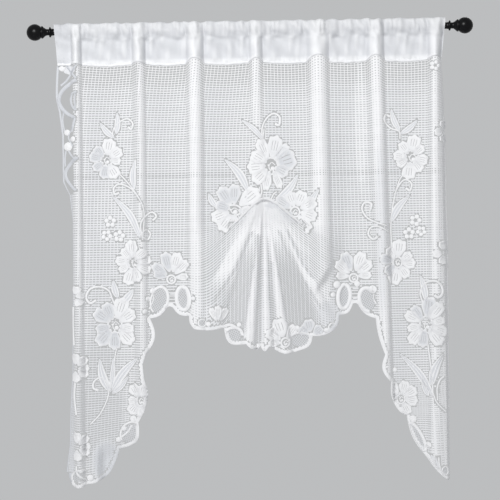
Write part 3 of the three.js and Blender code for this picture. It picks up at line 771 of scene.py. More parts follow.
# The open heart of each large flower: x, z, radius across, radius up, on the fan
HEARTS = [
    (45, -330, 17, 20, 0), (-47, -435, 19, 13, 0), (101, -441, 11, 12, 0), (-350, -309, 14, 16, 0),
    (-288, -557, 13, 17, 0), (-336, -706, 17, 20, 0), (383, -315, 17, 17, 0), (345, -566, 11, 13, 0),
    (411, -717, 15, 20, 0), (-199, -598, 10, 10, 0), (239, -602, 10, 10, 0), (-276, -887, 10, 13, 0),
    (348, -894, 10, 12, 0), (72, -753, 10, 11, 1),
]
# Leaves: x and z of the base and of the tip, half width, bend, on the fan
LEAVES = [
    (-325, -247, -322, -196, 6, 2, 0), (-330, -256, -363, -220, 6, -3, 0),
    (-283, -381, -278, -310, 7, -6, 0), (-270, -497, -337, -396, 8, 9, 0),
    (-328, -640, -338, -598, 7, -2, 0), (-318, -653, -290, -620, 8, 2, 0),
    (-350, -866, -374, -786, 9, -6, 0), (-346, -864, -281, -784, 9, -6, 0),
    (-349, -858, -341, -784, 5, 2, 0), (-345, -870, -306, -828, 5, 4, 0),
    (27, -267, -23, -219, 5, 4, 0), (-11, -390, -66, -312, 9, 8, 0),
    (56, -412, 110, -350, 8, 7, 0), (-88, -426, -106, -393, 6, -2, 0),
    (137, -430, 158, -389, 6, -3, 0),
    (356, -251, 336, -198, 6, -4, 0), (358, -258, 398, -226, 6, 3, 0),
    (331, -469, 377, -406, 8, -6, 0), (412, -660, 399, -598, 7, 2, 0),
    (422, -886, 347, -787, 8, 8, 0), (420, -862, 450, -788, 9, -6, 0),
    (413, -888, 400, -845, 5, -2, 0),
]
# Scrolls and stems: width at the start and the end, on the fan, and the points they pass
SCROLLS = [
    (2.6, 5.4, 0, [(-335, -254), (-330, -232), (-313, -216), (-296, -211), (-284, -224),
                   (-289, -236), (-296, -230)]),
    (3.2, 2.6, 0, [(-320, -342), (-303, -360), (-275, -397), (-261, -435), (-265, -500)]),
    (2.8, 5.4, 0, [(-275, -397), (-294, -377), (-318, -367), (-333, -376), (-331, -391), (-320, -388)]),
    (2.8, 5.0, 0, [(-265, -502), (-269, -466), (-257, -445), (-242, -436), (-232, -446), (-241, -456)]),
    (2.8, 4.8, 0, [(-272, -493), (-257, -478), (-247, -488), (-254, -502), (-266, -496)]),
    (3.2, 6.0, 0, [(-332, -666), (-342, -640), (-350, -622), (-371, -613), (-394, -618), (-404, -638),
                   (-394, -652), (-380, -645)]),
    (2.8, 2.8, 0, [(-326, -742), (-336, -775), (-342, -818), (-353, -866)]),
    (3.2, 3.2, 0, [(-352, -860), (-358, -885), (-375, -918), (-399, -943)]),
    (2.8, 5.4, 0, [(-354, -868), (-358, -843), (-372, -831), (-388, -840), (-390, -856), (-378, -862)]),
    (3.0, 6.0, 0, [(27, -276), (25, -240), (37, -215), (54, -204), (68, -213), (66, -232), (56, -228)]),
    (2.8, 2.8, 0, [(27, -284), (27, -262), (30, -240)]),
    (3.0, 3.4, 0, [(-12, -430), (-14, -404), (-12, -385)]),
    (3.0, 3.4, 0, [(16, -408), (22, -392), (20, -372)]),
    (3.0, 3.4, 0, [(44, -410), (50, -398), (58, -392)]),
    (2.8, 5.0, 0, [(356, -270), (354, -252), (334, -244), (318, -226), (322, -212), (332, -216)]),
    (3.2, 2.8, 0, [(366, -352), (352, -372), (338, -420), (331, -470), (331, -530)]),
    (2.8, 5.4, 0, [(340, -404), (354, -378), (368, -368), (382, -378), (378, -394), (368, -388)]),
    (3.0, 5.4, 0, [(318, -478), (296, -470), (274, -458), (262, -438), (268, -422), (284, -424),
                   (282, -438)]),
    (3.0, 5.2, 0, [(322, -492), (300, -480), (282, -482), (276, -498), (288, -510), (298, -502)]),
    (3.4, 6.6, 0, [(404, -664), (398, -640), (410, -618), (432, -612), (448, -624), (450, -642),
                   (440, -652), (430, -646)]),
    (2.8, 2.8, 0, [(414, -760), (418, -800), (422, -840), (423, -886)]),
    (3.2, 3.2, 0, [(423, -880), (432, -903), (454, -926)]),
    (2.8, 4.8, 0, [(434, -898), (433, -870), (440, -850), (450, -842)]),
    (2.4, 3.0, 0, [(-244, -625), (-243, -647), (-253, -668)]),
    (2.4, 3.0, 0, [(287, -641), (286, -652), (292, -665)]),
    (4.0, 5.0, 0, [(-299, -946), (-309, -962), (-324, -974)]),
    (8.0, 5.0, 1, [(-75, -714), (-62, -709), (-49, -713), (-33, -726)]),
    (4.0, 3.0, 1, [(86, -734), (105, -731), (119, -724)]),
    (4.0, 5.0, 0, [(364, -947), (366, -976), (396, -1020)]),
    (3.6, 2.6, 0, [(424, -1030), (426, -1050), (432, -1070)]),
    (3.6, 2.6, 0, [(434, -1034), (436, -1054), (442, -1072)]),
    (4.0, 5.0, 0, [(-432, -1040), (-430, -1058), (-410, -1078)]),
    (5.0, 4.0, 0, [(-432, -840), (-435, -876), (-430, -918)]),
    (5.0, 4.0, 0, [(-434, -660), (-436, -700), (-434, -752)]),
]
# The left border's net is left out down to this length of cloth and left of this s
BORDER_OPEN_TO, BORDER_OPEN_S = 388, -426
# Its open work: bands and strands between the border's edge and the first fold
BORDER_CORDS = [
    (9.0, 8.0, 0, [(-417, -117), (-434, -125), (-453, -141), (-461, -158), (-460, -173), (-450, -188),
                   (-437, -199), (-421, -208)]),
    (5.5, 5.5, 0, [(-417, -145), (-428, -150), (-432, -163), (-429, -177), (-418, -190)]),
    (4.0, 5.0, 0, [(-443, -80), (-431, -96), (-417, -113)]),
    (4.0, 5.0, 0, [(-416, -82), (-429, -99), (-443, -118), (-456, -128)]),
    (5.0, 6.0, 0, [(-421, -207), (-425, -221), (-431, -240)]),
    (4.0, 3.0, 0, [(-450, -188), (-454, -211), (-450, -238)]),
    (3.5, 3.5, 0, [(-447, -283), (-450, -302), (-450, -322)]),
    (4.0, 4.0, 0, [(-441, -284), (-432, -298), (-420, -310)]),
    (8.5, 6.0, 0, [(-418, -302), (-437, -319), (-449, -336), (-446, -353), (-434, -370), (-421, -382)]),
    (3.0, 3.0, 0, [(-420, -150), (-421, -163), (-420, -186)]),
    (3.0, 3.0, 0, [(-427, -228), (-440, -252), (-428, -276)]),
]
# Ovals of fine net at the hem: x, z, half width, half height, lean in degrees, on the fan
OVALS = [
    (-229, -648, 17, 29, 14, 0), (-171, -644, 12, 24, -4, 0),
    (215, -646, 11, 25, 6, 0), (272, -655, 16, 25, -14, 0),
    (-302, -966, 20, 24, 30, 0), (-428, -1066, 17, 10, -35, 0),
    (-52, -736, 18, 16, -20, 1), (109, -749, 24, 14, -4, 1),
    (-126, -703, 7, 7, 0, 1), (186, -719, 8, 8, 0, 1),
    (386, -986, 7, 33, -27, 0), (450, -1068, 6, 8, 0, 0), (-354, -1046, 5, 8, 0, 0),
]
# Thin closely worked places: x, z, half width, half height, lean in degrees, fill, on the fan
PATCHES = [
    (-88, -730, 12, 9, 0, 0.5, 1),
    (424, -1048, 9, 20, -20, 0.6, 0), (-434, -92, 15, 10, 0, 0.55, 0),
]
# Raised dots: x, z, radius, on the fan
BERRIES = [
    (-255, -644, 6, 0), (-244, -625, 7, 0), (-263, -674, 6, 0), (-146, -644, 5, 0),
    (188, -641, 6, 0), (247, -616, 7, 0), (198, -617, 9, 0), (284, -630, 10, 0),
    (-318, -954, 6, 0), (-295, -931, 8.5, 0), (-332, -981, 7, 0),
    (-401, -1071, 8, 0), (-420, -1053, 5, 0),
    (-111, -706, 6, 1), (-38, -709, 5.5, 1), (101, -720, 7, 1), (171, -725, 6, 1),
    (376, -943, 9.5, 0), (411, -1005, 7.5, 0), (344, -882, 4, 0), (334, -824, 6, 0),
    (-452, -86, 9, 0), (-443, -241, 7.5, 0), (-441, -275, 11, 0), (-428, -258, 7, 0),
]


# Cords round the ovals: x, z, reach across and up, lean, width, on the fan, first and last angle
OVAL_CORDS = [
    (-229, -648, 21, 33, 14, 7.0, 0, -60, 150), (-229, -648, 20, 32, 14, 4.0, 0, 200, 300),
    (-171, -644, 16, 28, -4, 9.0, 0), (215, -646, 15, 29, 6, 9.0, 0),
    (272, -655, 20, 29, -14, 9.0, 0, -170, 60), (-302, -966, 24, 28, 30, 5.0, 0, -150, 60),
    (-428, -1066, 20, 13, -35, 4.5, 0, -100, 100), (-52, -736, 22, 20, -20, 7.5, 1, -80, 110),
    (109, -749, 28, 18, -4, 5.5, 1, -90, 90), (-126, -703, 9, 9, 0, 3.5, 1),
    (186, -719, 10, 10, 0, 3.5, 1), (386, -986, 11, 37, -27, 7.5, 0), (450, -1068, 8, 10, 0, 3.5, 0),
]
# Ladders of short level cords at the hem: left and right end, from and up to which level
LADDERS = [(-208, -190, -654, -616), (231, 249, -656, -622)]


def hem_work(work):
    """The cords and rungs that are worked along the hem and in the left border."""
    add_cords(work, [oval_cord(*line) for line in OVAL_CORDS])
    for left, right, low, high in LADDERS:
        rungs = [(2.2, 2.2, 0, [(left, z), (right, z)]) for z in range(low, high, 8)]
        add_cords(work, rungs, steps=4)
    # Painted shade: the left border's cords take the dark thin colour, as the border turns back into
    # shade
    add_cords(work, BORDER_CORDS, fill=0.1)


# The curl in each heart, in shares of the heart's reach to the right and up
HEART_CURL = [(0.6, 0.1), (0.1, 0.45), (-0.3, -0.1), (0, -0.6)]


def place_motifs():
    """All the motifs, as a table of points with their faces."""
    work = Needlework()
    petals = [(x, z, *petal, 0) for x, z, group in CENTRE_PETALS for petal in group]
    add_petals(work, spread_petals(FLOWERS) + petals)
    add_petals(work, spread_petals(EDGE_FLOWERS), slots=())
    add_small_flowers(work, SMALL_FLOWERS)
    add_patches(work, PATCHES)
    add_rings(work, [(x, z, across, up, 4.2, 1.0, fan) for x, z, across, up, fan in HEARTS])
    dots, curls = list(BERRIES), []
    for aside, up_by, size in ((0.25, -0.3, 0.3), (-0.35, 0.1, 0.14)):
        dots += [(x + aside * a, z + up_by * b, size * a, fan) for x, z, a, b, fan in HEARTS]
    for x, z, a, b, fan in HEARTS:
        curls.append((1.8, 2.8, fan, [(x + p * a, z + q * b) for p, q in HEART_CURL]))
    add_berries(work, dots)
    add_cords(work, curls, steps=9)
    add_leaves(work, LEAVES)
    add_cords(work, SCROLLS)
    add_diamond_net(work, OVALS)
    hem_work(work)
    return work.finished()


# The net

# The map of the motifs: its squares' size, where it starts, its squares across and down, its margin
MAP_STEP = 1.2
MAP_LEFT, MAP_TOP, MAP_WIDE, MAP_HIGH, MAP_EDGE = -480, 70, 830, 900, 3


def motif_map(s, v, faces):
    """A map of the cloth in small squares, true where a motif lies and one square round it."""
    covered = np.zeros((MAP_HIGH, MAP_WIDE), bool)
    corner_s, corner_v = s[faces], v[faces]
    for a in (0.0, 0.33, 0.67, 1.0):
        for b in (0.0, 0.33, 0.67, 1.0):
            share = np.array([(1 - a) * (1 - b), a * (1 - b), a * b, (1 - a) * b])
            row = ((corner_v @ share - MAP_TOP) / MAP_STEP).astype(int)
            column = ((corner_s @ share - MAP_LEFT) / MAP_STEP).astype(int)
            row = np.clip(row, MAP_EDGE, MAP_HIGH - 1 - MAP_EDGE)
            covered[row, np.clip(column, MAP_EDGE, MAP_WIDE - 1 - MAP_EDGE)] = True
    wide = covered.copy()
    for down in (-1, 0, 1):
        for aside in (-1, 0, 1):
            wide |= np.roll(np.roll(covered, down, axis=0), aside, axis=1)
    return wide


def on_map(covered, s, v):
    """Whether the map is true at s and v."""
    row = np.clip(((v - MAP_TOP) / MAP_STEP).astype(int), 0, MAP_HIGH - 1)
    column = np.clip(((s - MAP_LEFT) / MAP_STEP).astype(int), 0, MAP_WIDE - 1)
    return covered[row, column]


HALF_CLOTH = 720        # more than half the width of the cloth along its folds
ROW_SPACING = 4000.0    # more than the whole width


def net_columns(v):
    """The s at every half pitch of the upright threads, for every v: the threads lie NET_COLUMN
    apart along the folded cloth, counted from the middle. All rows are looked up at once, each
    moved on by ROW_SPACING from the one before."""
    fine = np.linspace(LEFT_EDGE - LEFT_WIDTH, RIGHT_EDGE + RIGHT_WIDTH, 1500)
    depth = fold_depth(fine[None], v[:, None])
    length = np.zeros(depth.shape)
    length[:, 1:] = np.cumsum(np.hypot(np.diff(fine)[None], np.diff(depth, axis=1)), axis=1)
    middle = np.argmin(np.abs(fine - TUCK_X))
    length -= length[:, middle : middle + 1]
    count = int(HALF_CLOTH / NET_COLUMN)
    halves = 0.5 * NET_COLUMN * np.arange(-2 * count, 2 * count + 1)
    wanted = np.clip(halves[None], length.min(axis=1)[:, None], length.max(axis=1)[:, None])
    row = ROW_SPACING * np.arange(len(v))[:, None]
    s = np.interp((wanted + row).ravel(), (length + row).ravel(), np.tile(fine, len(v)))
    return s.reshape(wanted.shape), halves


def inside_open_parts(x, z, in_fan):
    """True inside the ovals and the flowers' hearts, where the coarse net gives way."""
    inside = np.zeros(np.shape(x), bool)
    rounds = [(x0, z0, a + 2, b + 2, turn, fan) for x0, z0, a, b, turn, fan in OVALS]
    rounds += [(x0, z0, a, b, 0, fan) for x0, z0, a, b, fan in HEARTS]
    for x0, z0, across, up, turn, fan in rounds:
        flat_x, flat_z = leaned(0, 0, x - x0, z - z0, -turn)
        inside |= ((flat_x / across) ** 2 + (flat_z / up) ** 2 < 1) & (in_fan == bool(fan))
    return inside


def nearest_on_hem(x, z):
    """The nearest of the hem's points, taken close together, to each x and z."""
    line = hem_line(90)
    result = np.empty((len(x), 2))
    for start in range(0, len(x), 1500):
        part = slice(start, start + 1500)
        away = (x[part, None] - line[None, :, 0]) ** 2 + (z[part, None] - line[None, :, 1]) ** 2
        result[part] = line[np.argmin(away, axis=1)]
    return result


def thread_sides(middle):
    """For the level threads at these lengths of cloth: the s of each upright thread's two sides and
    of the middle of the gap after it, and the same places on the flat cloth."""
    half_s, halves = net_columns(middle)
    thread_s, before, after = half_s[:, 1::2], half_s[:, 0:-1:2], half_s[:, 2::2]
    v = middle[:, None]
    x, _, z = front(thread_s, v)
    close = np.maximum(closeness(thread_s, v), layered_and_shaded(x, z)[0])
    share = BAR_UPRIGHT / NET_COLUMN * (1 + CLOSE_UPRIGHT * close)
    narrow = 0.5 * swagged(x, z, v) * (1 - close) + 0.4 * fan_shade(x, z, v)
    share = share * (1 - narrow) * (1 - 0.25 * smooth(*NEAR_SEAM, v) * (1 - close))
    sides = [thread_s + (before - thread_s) * share, thread_s + (after - thread_s) * share, after]
    u = [halves[1::2] - BAR_UPRIGHT / 2, halves[1::2] + BAR_UPRIGHT / 2, halves[2::2]]
    return np.stack(sides, axis=-1).reshape(len(middle), -1), np.stack(u, axis=-1).ravel()


def thread_looks(s, middle):
    """How tall the level threads are at s, and the net's fill there: taller and fuller on crowns, lower
    in the fan's shade, in shaded places and near the seam, and with painted shade in the fan, in shaded
    places, across each panel and at the left border."""
    v = middle[:, None]
    x, _, z = front(s, v)
    doubled, thin = layered_and_shaded(x, z)
    shade = fan_shade(x, z, v)
    close = np.maximum(closeness(s, v), doubled) * (1 - 0.8 * shade)
    upper = smooth(*NEAR_SEAM, v) * (1 - close)
    narrow = np.maximum(np.maximum(0.6 * shade, 0.5 * thin * (1 - close)), 0.4 * upper)
    # Painted shade: thin darkens the threads' colour in the fan's shade, in the shaded places and across
    # each panel
    thin = np.maximum(0.35 * shade, thin * (0.35 + 0.65 * close))
    thin = np.maximum(thin, panel_shade(s) * (1 - close) * (1 - upper))
    # Painted shade on the left border, which turns back into shade
    thin = np.maximum(thin, 0.55 * smooth(LEFT_EDGE + 4, LEFT_EDGE - 8, s))
    uneven = 1 + 0.05 * np.sin(v * 0.9) + 0.04 * np.sin(v * 0.23)
    uneven = uneven * (1 - 0.24 * smooth(190, 90, v) - 0.5 * np.exp(-(((v - PRESS_V) / 5) ** 2)))
    tall = BAR_LEVEL * uneven * (1 + CLOSE_LEVEL * close) * (1 - narrow)
    return tall, (0.78 + 0.22 * np.maximum(close, upper)) * (1 - thin)


def net_mesh(covered):
    """The net's points, faces, map and fill. Every level thread is two rows of points, and the
    squares between four threads are left open. So are the places that motifs cover. The points
    beyond the hem are moved to the nearest point of it."""
    middle = np.arange(SEAM_V + 2.4, HEM_REACH + 30, NET_ROW)
    s, u = thread_sides(middle)
    tall, fill = thread_looks(s, middle)
    v = middle[:, None, None] + np.array([-0.5, 0.5])[None, :, None] * tall[:, None]
    v = v.reshape(-1, s.shape[1])
    s, fill = np.repeat(s, 2, axis=0), np.repeat(fill, 2, axis=0)
    s = np.clip(s, *border_edges(v))
    points = cloth(s, v).reshape(-1, 3)
    faces = grid_faces(*s.shape)
    row, column = np.divmod(np.arange(len(faces)), s.shape[1] - 1)
    corner_s = s.ravel()[faces]
    keep = ((row % 2 == 0) | (column % 3 == 0)) & (corner_s[:, 2] - corner_s[:, 1] > 0.05)
    faces = faces[keep]
    centre = points[faces].mean(axis=1)
    centre_s, centre_v = s.ravel()[faces].mean(axis=1), v.ravel()[faces].mean(axis=1)
    keep = above_hem(centre[:, 0], centre[:, 2]) & ~on_map(covered, centre_s, centre_v)
    keep &= ~inside_open_parts(centre[:, 0], centre[:, 2], centre_v > TUCK_END - 20)
    keep &= (centre_s > BORDER_OPEN_S) | (centre_v > BORDER_OPEN_TO)
    used, index = np.unique(faces[keep], return_inverse=True)
    points = points[used].copy()
    outside = np.flatnonzero(~above_hem(points[:, 0], points[:, 2]))
    points[outside, ::2] = nearest_on_hem(points[outside, 0], points[outside, 2])
    uv = np.stack([np.broadcast_to(u, s.shape).ravel()[used], v.ravel()[used]], axis=1) * MM
    return points, index.reshape(-1, 4), uv, fill.ravel()[used]


def tube(middle, radius, tall, deep, sides):
    """A rounded profile carried along a line: radius * (cos * tall * up + sin * deep * out), with
    up as nearly upright as the line allows."""
    slope = direction(middle)
    up = np.array([0.0, 0.0, 1.0]) - slope * slope[:, 2:]
    up /= np.linalg.norm(up, axis=1, keepdims=True)
    out = np.cross(slope, up)
    turn = np.linspace(0, 2 * np.pi, sides + 1)[:-1]
    ring = np.cos(turn)[None, :, None] * up[:, None] * tall
    ring = ring + np.sin(turn)[None, :, None] * out[:, None] * deep
    return middle[:, None] + radius[:, None, None] * ring, turn


# The hem cord's width, how far its small lobes swell, their spacing, and the borders' cords' width
HEM_CORD, HEM_LOBE, HEM_LOBE_PITCH, BORDER_CORD = 8.6, 1.5, 9.5, 5.5


def edge_cords():
    """The finished edge: a flat cord along the hem and one along each lobed border, each as its
    points, s, v and whether its faces are turned round."""
    line = hem_line(20)
    slope = direction(line)
    inward = np.stack([-slope[:, 1], slope[:, 0]], axis=1)
    share = np.array([0.0, 0.12, 0.5, 0.85, 1.0])
    lift = np.array([0.0, 1.5, 2.0, 1.4, 0.2])
    run = np.concatenate([[0], np.cumsum(np.linalg.norm(np.diff(line, axis=0), axis=1))])
    wide = HEM_CORD + HEM_LOBE * np.sin(2 * np.pi * run / HEM_LOBE_PITCH)
    points = line[:, None] + (wide[:, None] * share[None])[..., None] * inward[:, None]
    x, z = points[..., 0], points[..., 1]
    on_fan = (np.abs(x - 20) < 165) & (z > -800)
    s, v = locate(x, z, on_fan)
    cords = [(cloth(s, v) + lift[None, :, None] * cloth_out(s, v), s, v, True)]
    v_line = np.linspace(SEAM_V + 1, HEM_REACH, 260)
    for edge, inward in zip(border_edges(v_line), (1, -1)):
        side_s = edge[:, None] + inward * BORDER_CORD * share[None]
        side_v = v_line[:, None] + 0 * side_s
        side = cloth(side_s, side_v) + 0.8 * lift[None, :, None] * cloth_out(side_s, side_v)
        keep = above_hem(side[:, 2, 0], side[:, 2, 2])
        cords.append((side[keep], side_s[keep], side_v[keep], inward < 0))
    return cords


# The rolled edge's ends to the left and right, the reach at which it would thin out, its radius
RIM_LEFT, RIM_RIGHT, RIM_REACH, RIM_RADIUS = 96, 92, 97, 3.5


def tuck_rim():
    """The rolled edge over the tuck: a tube along the fan's top, thinner towards its ends. Gives
    its points, s and v."""
    s = np.linspace(TUCK_X - RIM_LEFT, TUCK_X + RIM_RIGHT, 76)
    angle = tuck_angle(s)
    turned = np.clip((angle - np.pi / 2) / np.maximum(angle, 1e-3), 0, 1)
    v = TUCK_START + TUCK_LEG + TUCK_BEND * turned + 2.5
    end = 1 - ((s - TUCK_X) / RIM_REACH) ** 2
    radius = 0.05 + RIM_RADIUS * np.sqrt(np.clip(end, 0, 1)) * (1 + 0.08 * np.sin(0.5 * s))
    middle = cloth(s, v) + 1.6 * cloth_out(s, v)
    middle[1:-1] = (middle[:-2] + 2 * middle[1:-1] + middle[2:]) / 4
    points, turn = tube(middle, radius, 1, 1, 8)
    return points, s[:, None] + 0 * turn, v[:, None] - radius[:, None] * np.cos(turn)


def lace_panel():
    """The panel as one mesh: the worked motifs, the cords of its edges, the tuck's rolled edge, and
    the net between them. A square of a motif is left out where a point of it can't be laid within
    1.5 mm of its place, or lies below the hem."""
    table, faces = place_motifs()
    x, z, height, fill, fan = table.T
    s, v = locate(x, z, fan > 0.5)
    bare = cloth(s, v)
    fits = (np.hypot(bare[:, 0] - x, bare[:, 2] - z) < 1.5) & above_hem(x, z)
    faces = faces[fits[faces].all(axis=1)]
    columns = [[bare + height[:, None] * cloth_out(s, v)], [s], [v], [fill]]
    all_faces, count = [faces], len(s)
    parts = [(*cord, False) for cord in edge_cords()] + [(*tuck_rim(), True, True)]
    for cord, cord_s, cord_v, turned, closed in parts:
        cord_faces = grid_faces(*cord_s.shape, closed=closed) + count
        all_faces.append(cord_faces[:, ::-1] if turned else cord_faces)
        count += cord_s.size
        for column, part in zip(columns, (cord.reshape(-1, 3), cord_s.ravel(), cord_v.ravel())):
            column.append(part)
        # Painted shade: the left border's edge cord, and the cords in the shaded places, take the darker
        # thin colour
        shaded = layered_and_shaded(cord[..., 0], cord[..., 2])[1].ravel()
        columns[3].append(np.where(cord_s.ravel() < LEFT_EDGE - 12, 0.15, 1 - 0.9 * shaded))
    points, s, v, fill = (np.concatenate(column) for column in columns)
    faces = np.vstack(all_faces)
    used, index = np.unique(faces, return_inverse=True)
    net, net_faces, net_uv, net_fill = net_mesh(motif_map(s, v, faces))
    return make_piece(
        "lace_panel_net",
        np.vstack([points[used], net]),
        np.vstack([index.reshape(-1, 4), net_faces + len(used)]),
        np.vstack([np.stack([s, v], axis=1)[used] * MM, net_uv]),
        np.concatenate([fill[used], net_fill]),
    )


# The heading


def heading_path(s):
    """The heading's section at each s, from the lower front edge over the rod to the back crease,
    as points forward and up, made soft between them."""
    fold, seam_z = seam_line(s)
    gather = 1.4 * np.sin(s * 0.12) * np.sin(s * 0.047 + 1)
    gather = gather + 1.1 * np.sin(0.19 * s + 2 * np.sin(0.04 * s))
    crease_z = CREASE_Z + 2 + 3.0 * np.sin(0.11 * s + 1.5 * np.sin(0.043 * s))
    fore = POCKET_REACH + POCKET_FOLD_SHARE * fold + gather
    back = -POCKET_REACH + 0.6 * gather
    crease = 0.55 * fold + 1
    top = HEADING_TOP + 0.9 * gather - 1
    return [
        (fold + 0.5, seam_z), (0.82 * fold + 3.5, 0.6 * seam_z + 0.4 * CREASE_Z),
        (0.66 * fold + 7.5, CREASE_Z - 13 + 0 * s), (0.55 * fold + 9.6, crease_z - 1),
        (fore - 1.6, crease_z + 10), (fore, -2 + 0 * s), (fore - 0.5, 8 + 0 * s),
        (0.7 * fore, top - 3.5), (0.1 * fore, top - 0.8), (0.7 * back, top - 3.5),
        (back, 7 + 0 * s), (back, -6 + 0 * s), (0.55 * back, -15 + 0 * s), (crease - 0.4, crease_z),
    ]


HEADING_COLUMNS, HEADING_ROWS = 620, 84


def heading():
    """The heading as one sheet: its section's points joined by soft curves, with puffed gathers over
    the rod, soft pleats that slant down from them, and short puckers along the seam. Its fill is
    high where the cloth lies doubled, on crowns, over the rod and at the seam, and it is a painted
    highlight on the forward half of each puff and on the pleats' crests."""
    s = np.linspace(HEADING_LEFT, HEADING_RIGHT, HEADING_COLUMNS)
    control = np.array(heading_path(s))
    place = np.linspace(0, len(control) - 1, HEADING_ROWS)
    forward, z = soft_curve(control, place).swapaxes(0, 1)
    on_front = smooth(9.5, 7.5, place)[:, None]
    puffs = np.sin(0.2 * s + 2.6 * np.sin(0.045 * s) + 0.12 * z)
    puffs = puffs + 0.5 * np.sin(0.47 * s + 1.4 * np.sin(0.11 * s))
    pleats = np.sin(0.15 * s + 0.03 * z + 2.2 * np.sin(0.027 * s + 0.4))
    pleats = pleats + 0.6 * np.sin(0.27 * s - 0.06 * z + 1.7 * np.sin(0.05 * s))
    slants = np.sin(0.115 * s + 0.085 * z + 1.8 * np.sin(0.021 * s)) * np.sin(0.04 * s - 0.06 * z + 0.8)
    puckers = np.sin(0.52 * s + 2.0 * np.sin(0.07 * s)) * np.sin(0.09 * s + 0.7)
    over_rod, below = smooth(-20, -8, z), smooth(-16, -26, z)
    relief = 1.6 * puffs * over_rod + (1.9 * pleats * np.exp((z - CREASE_Z) / 40) + 3.2 * slants) * below
    relief = relief * smooth(SEAM_Z - 6, SEAM_Z + 12, z) + 1.3 * puckers * np.exp(-(z - SEAM_Z) / 9)
    forward = forward + on_front * relief
    share = np.clip((z - SEAM_Z) / (HEADING_TOP - SEAM_Z), 0, 1)
    left = np.maximum(1 - (s - HEADING_LEFT) / FLARE_WIDE, 0)
    right = np.maximum(1 - (HEADING_RIGHT - s) / FLARE_WIDE, 0)
    flare = FLARE_RIGHT * right - FLARE_LEFT * left
    x = s[None] + flare * share
    points = np.stack([x, -forward, z], axis=-1)
    step = np.linalg.norm(np.diff(points, axis=0), axis=-1)
    down = np.vstack([np.zeros((1, len(s))), np.cumsum(step, axis=0)])
    aside = np.concatenate([[0], np.cumsum(np.hypot(np.diff(s), np.diff(fold_depth(s, SEAM_V))))])
    uv = np.stack([np.broadcast_to(aside, down.shape), down], axis=-1).reshape(-1, 2) * MM
    crowns = np.max([bump((s - centre) / half) for centre, _, half, *_ in FOLDS], axis=0)
    # Painted light with doubled cloth: the fill is raised on fold crowns, over the rod and at the seam,
    # where the cloth lies double and catches the light, and as a painted highlight on the forward half of
    # each puff and on the pleats' crests
    doubled = np.maximum(smooth(0.25, 0.8, crowns), smooth(-12, 4, z) * (0.35 + 0.3 * (puffs > 0)))
    doubled = np.maximum(doubled, 0.9 * smooth(SEAM_Z + 15, SEAM_Z + 5, z))
    doubled = np.maximum(doubled, 0.45 * smooth(0.2, 1.4, pleats))
    doubled = doubled * smooth(HEADING_LEFT + 26, HEADING_LEFT + 38, s)
    faces = grid_faces(len(place), len(s))[:, ::-1]
    return make_piece("heading_cloth", points.reshape(-1, 3), faces, uv, doubled.ravel())


def seam_roll():
    """The thick seam at the heading's lower edge: a round profile carried along the edge."""
    s = np.linspace(HEADING_LEFT, HEADING_RIGHT, HEADING_COLUMNS)
    fold, level = seam_line(s)
    z = level + 0.7 * np.sin(0.21 * s) * np.sin(0.034 * s)
    middle = np.stack([s, -fold - 1.1, z + 1.6], axis=1)
    radius = 2.4 + 0.35 * np.sin(0.5 * s) + 0.3 * np.sin(0.19 * s + 1)
    points, turn = tube(middle, radius, 1.3, 0.8, 10)
    uv = np.stack(np.broadcast_arrays(s[:, None], 4 * turn[None]), axis=-1).reshape(-1, 2) * MM
    faces = grid_faces(len(s), 10, closed=True)[:, ::-1]
    return make_piece("heading_seam", points.reshape(-1, 3), faces, uv, np.ones(points.size // 3))


# The finials

# A finial's shoulder, neck and raised ring: radius, and distance out from the ball's centre
FINIAL_NECK = [
    (15.2, -16.2), (15.0, -18.4), (13.6, -20.6), (10.6, -23.6), (8.4, -26.4), (7.6, -29.2),
    (7.6, -32.6), (8.2, -34.2), (11.6, -34.8), (12.4, -35.6), (12.4, -37.8), (11.6, -38.8),
    (9.0, -39.6), (8.4, -40.8), (8.4, -43.6), (8.1, -44), (0.01, -44),
]


def finial(name, side):
    """A turned finial: the ball's arc and the neck's profile, carried round the rod's axis."""
    angle = np.linspace(np.pi / 2, -0.9, 22)
    ball = np.stack([BALL_RADIUS * np.cos(angle), BALL_RADIUS * np.sin(angle)], axis=1)
    ball[0, 0] = 0.01
    profile = np.vstack([ball, FINIAL_NECK])
    turn = np.linspace(0, 2 * np.pi, 49)[:-1]
    radius, place = profile[:, :1], profile[:, 1:]
    x = side * (BALL_CENTRE_X + place) + 0 * turn
    points = np.stack([x, radius * np.cos(turn), radius * np.sin(turn)], axis=-1)
    faces = grid_faces(len(profile), len(turn), closed=True)
    if side < 0:
        faces = faces[:, ::-1]
    return make_piece(name, points.reshape(-1, 3), faces)


# Materials


class Signal:
    """A node's output, on which sums are written as Python expressions."""

    def __init__(self, recipe, socket):
        self.recipe, self.socket = recipe, socket

    def math(self, operation, *values):
        return self.recipe.add("Math", {"operation": operation}, dict(enumerate(values)))

    def __add__(self, other):
        return self.math("ADD", self, other)

    def __sub__(self, other):
        return self.math("SUBTRACT", self, other)

    def __rsub__(self, other):
        return self.math("SUBTRACT", other, self)

    def __mul__(self, other):
        return self.math("MULTIPLY", self, other)

    def sine(self):
        return self.math("SINE", self)

    __radd__, __rmul__ = __add__, __mul__


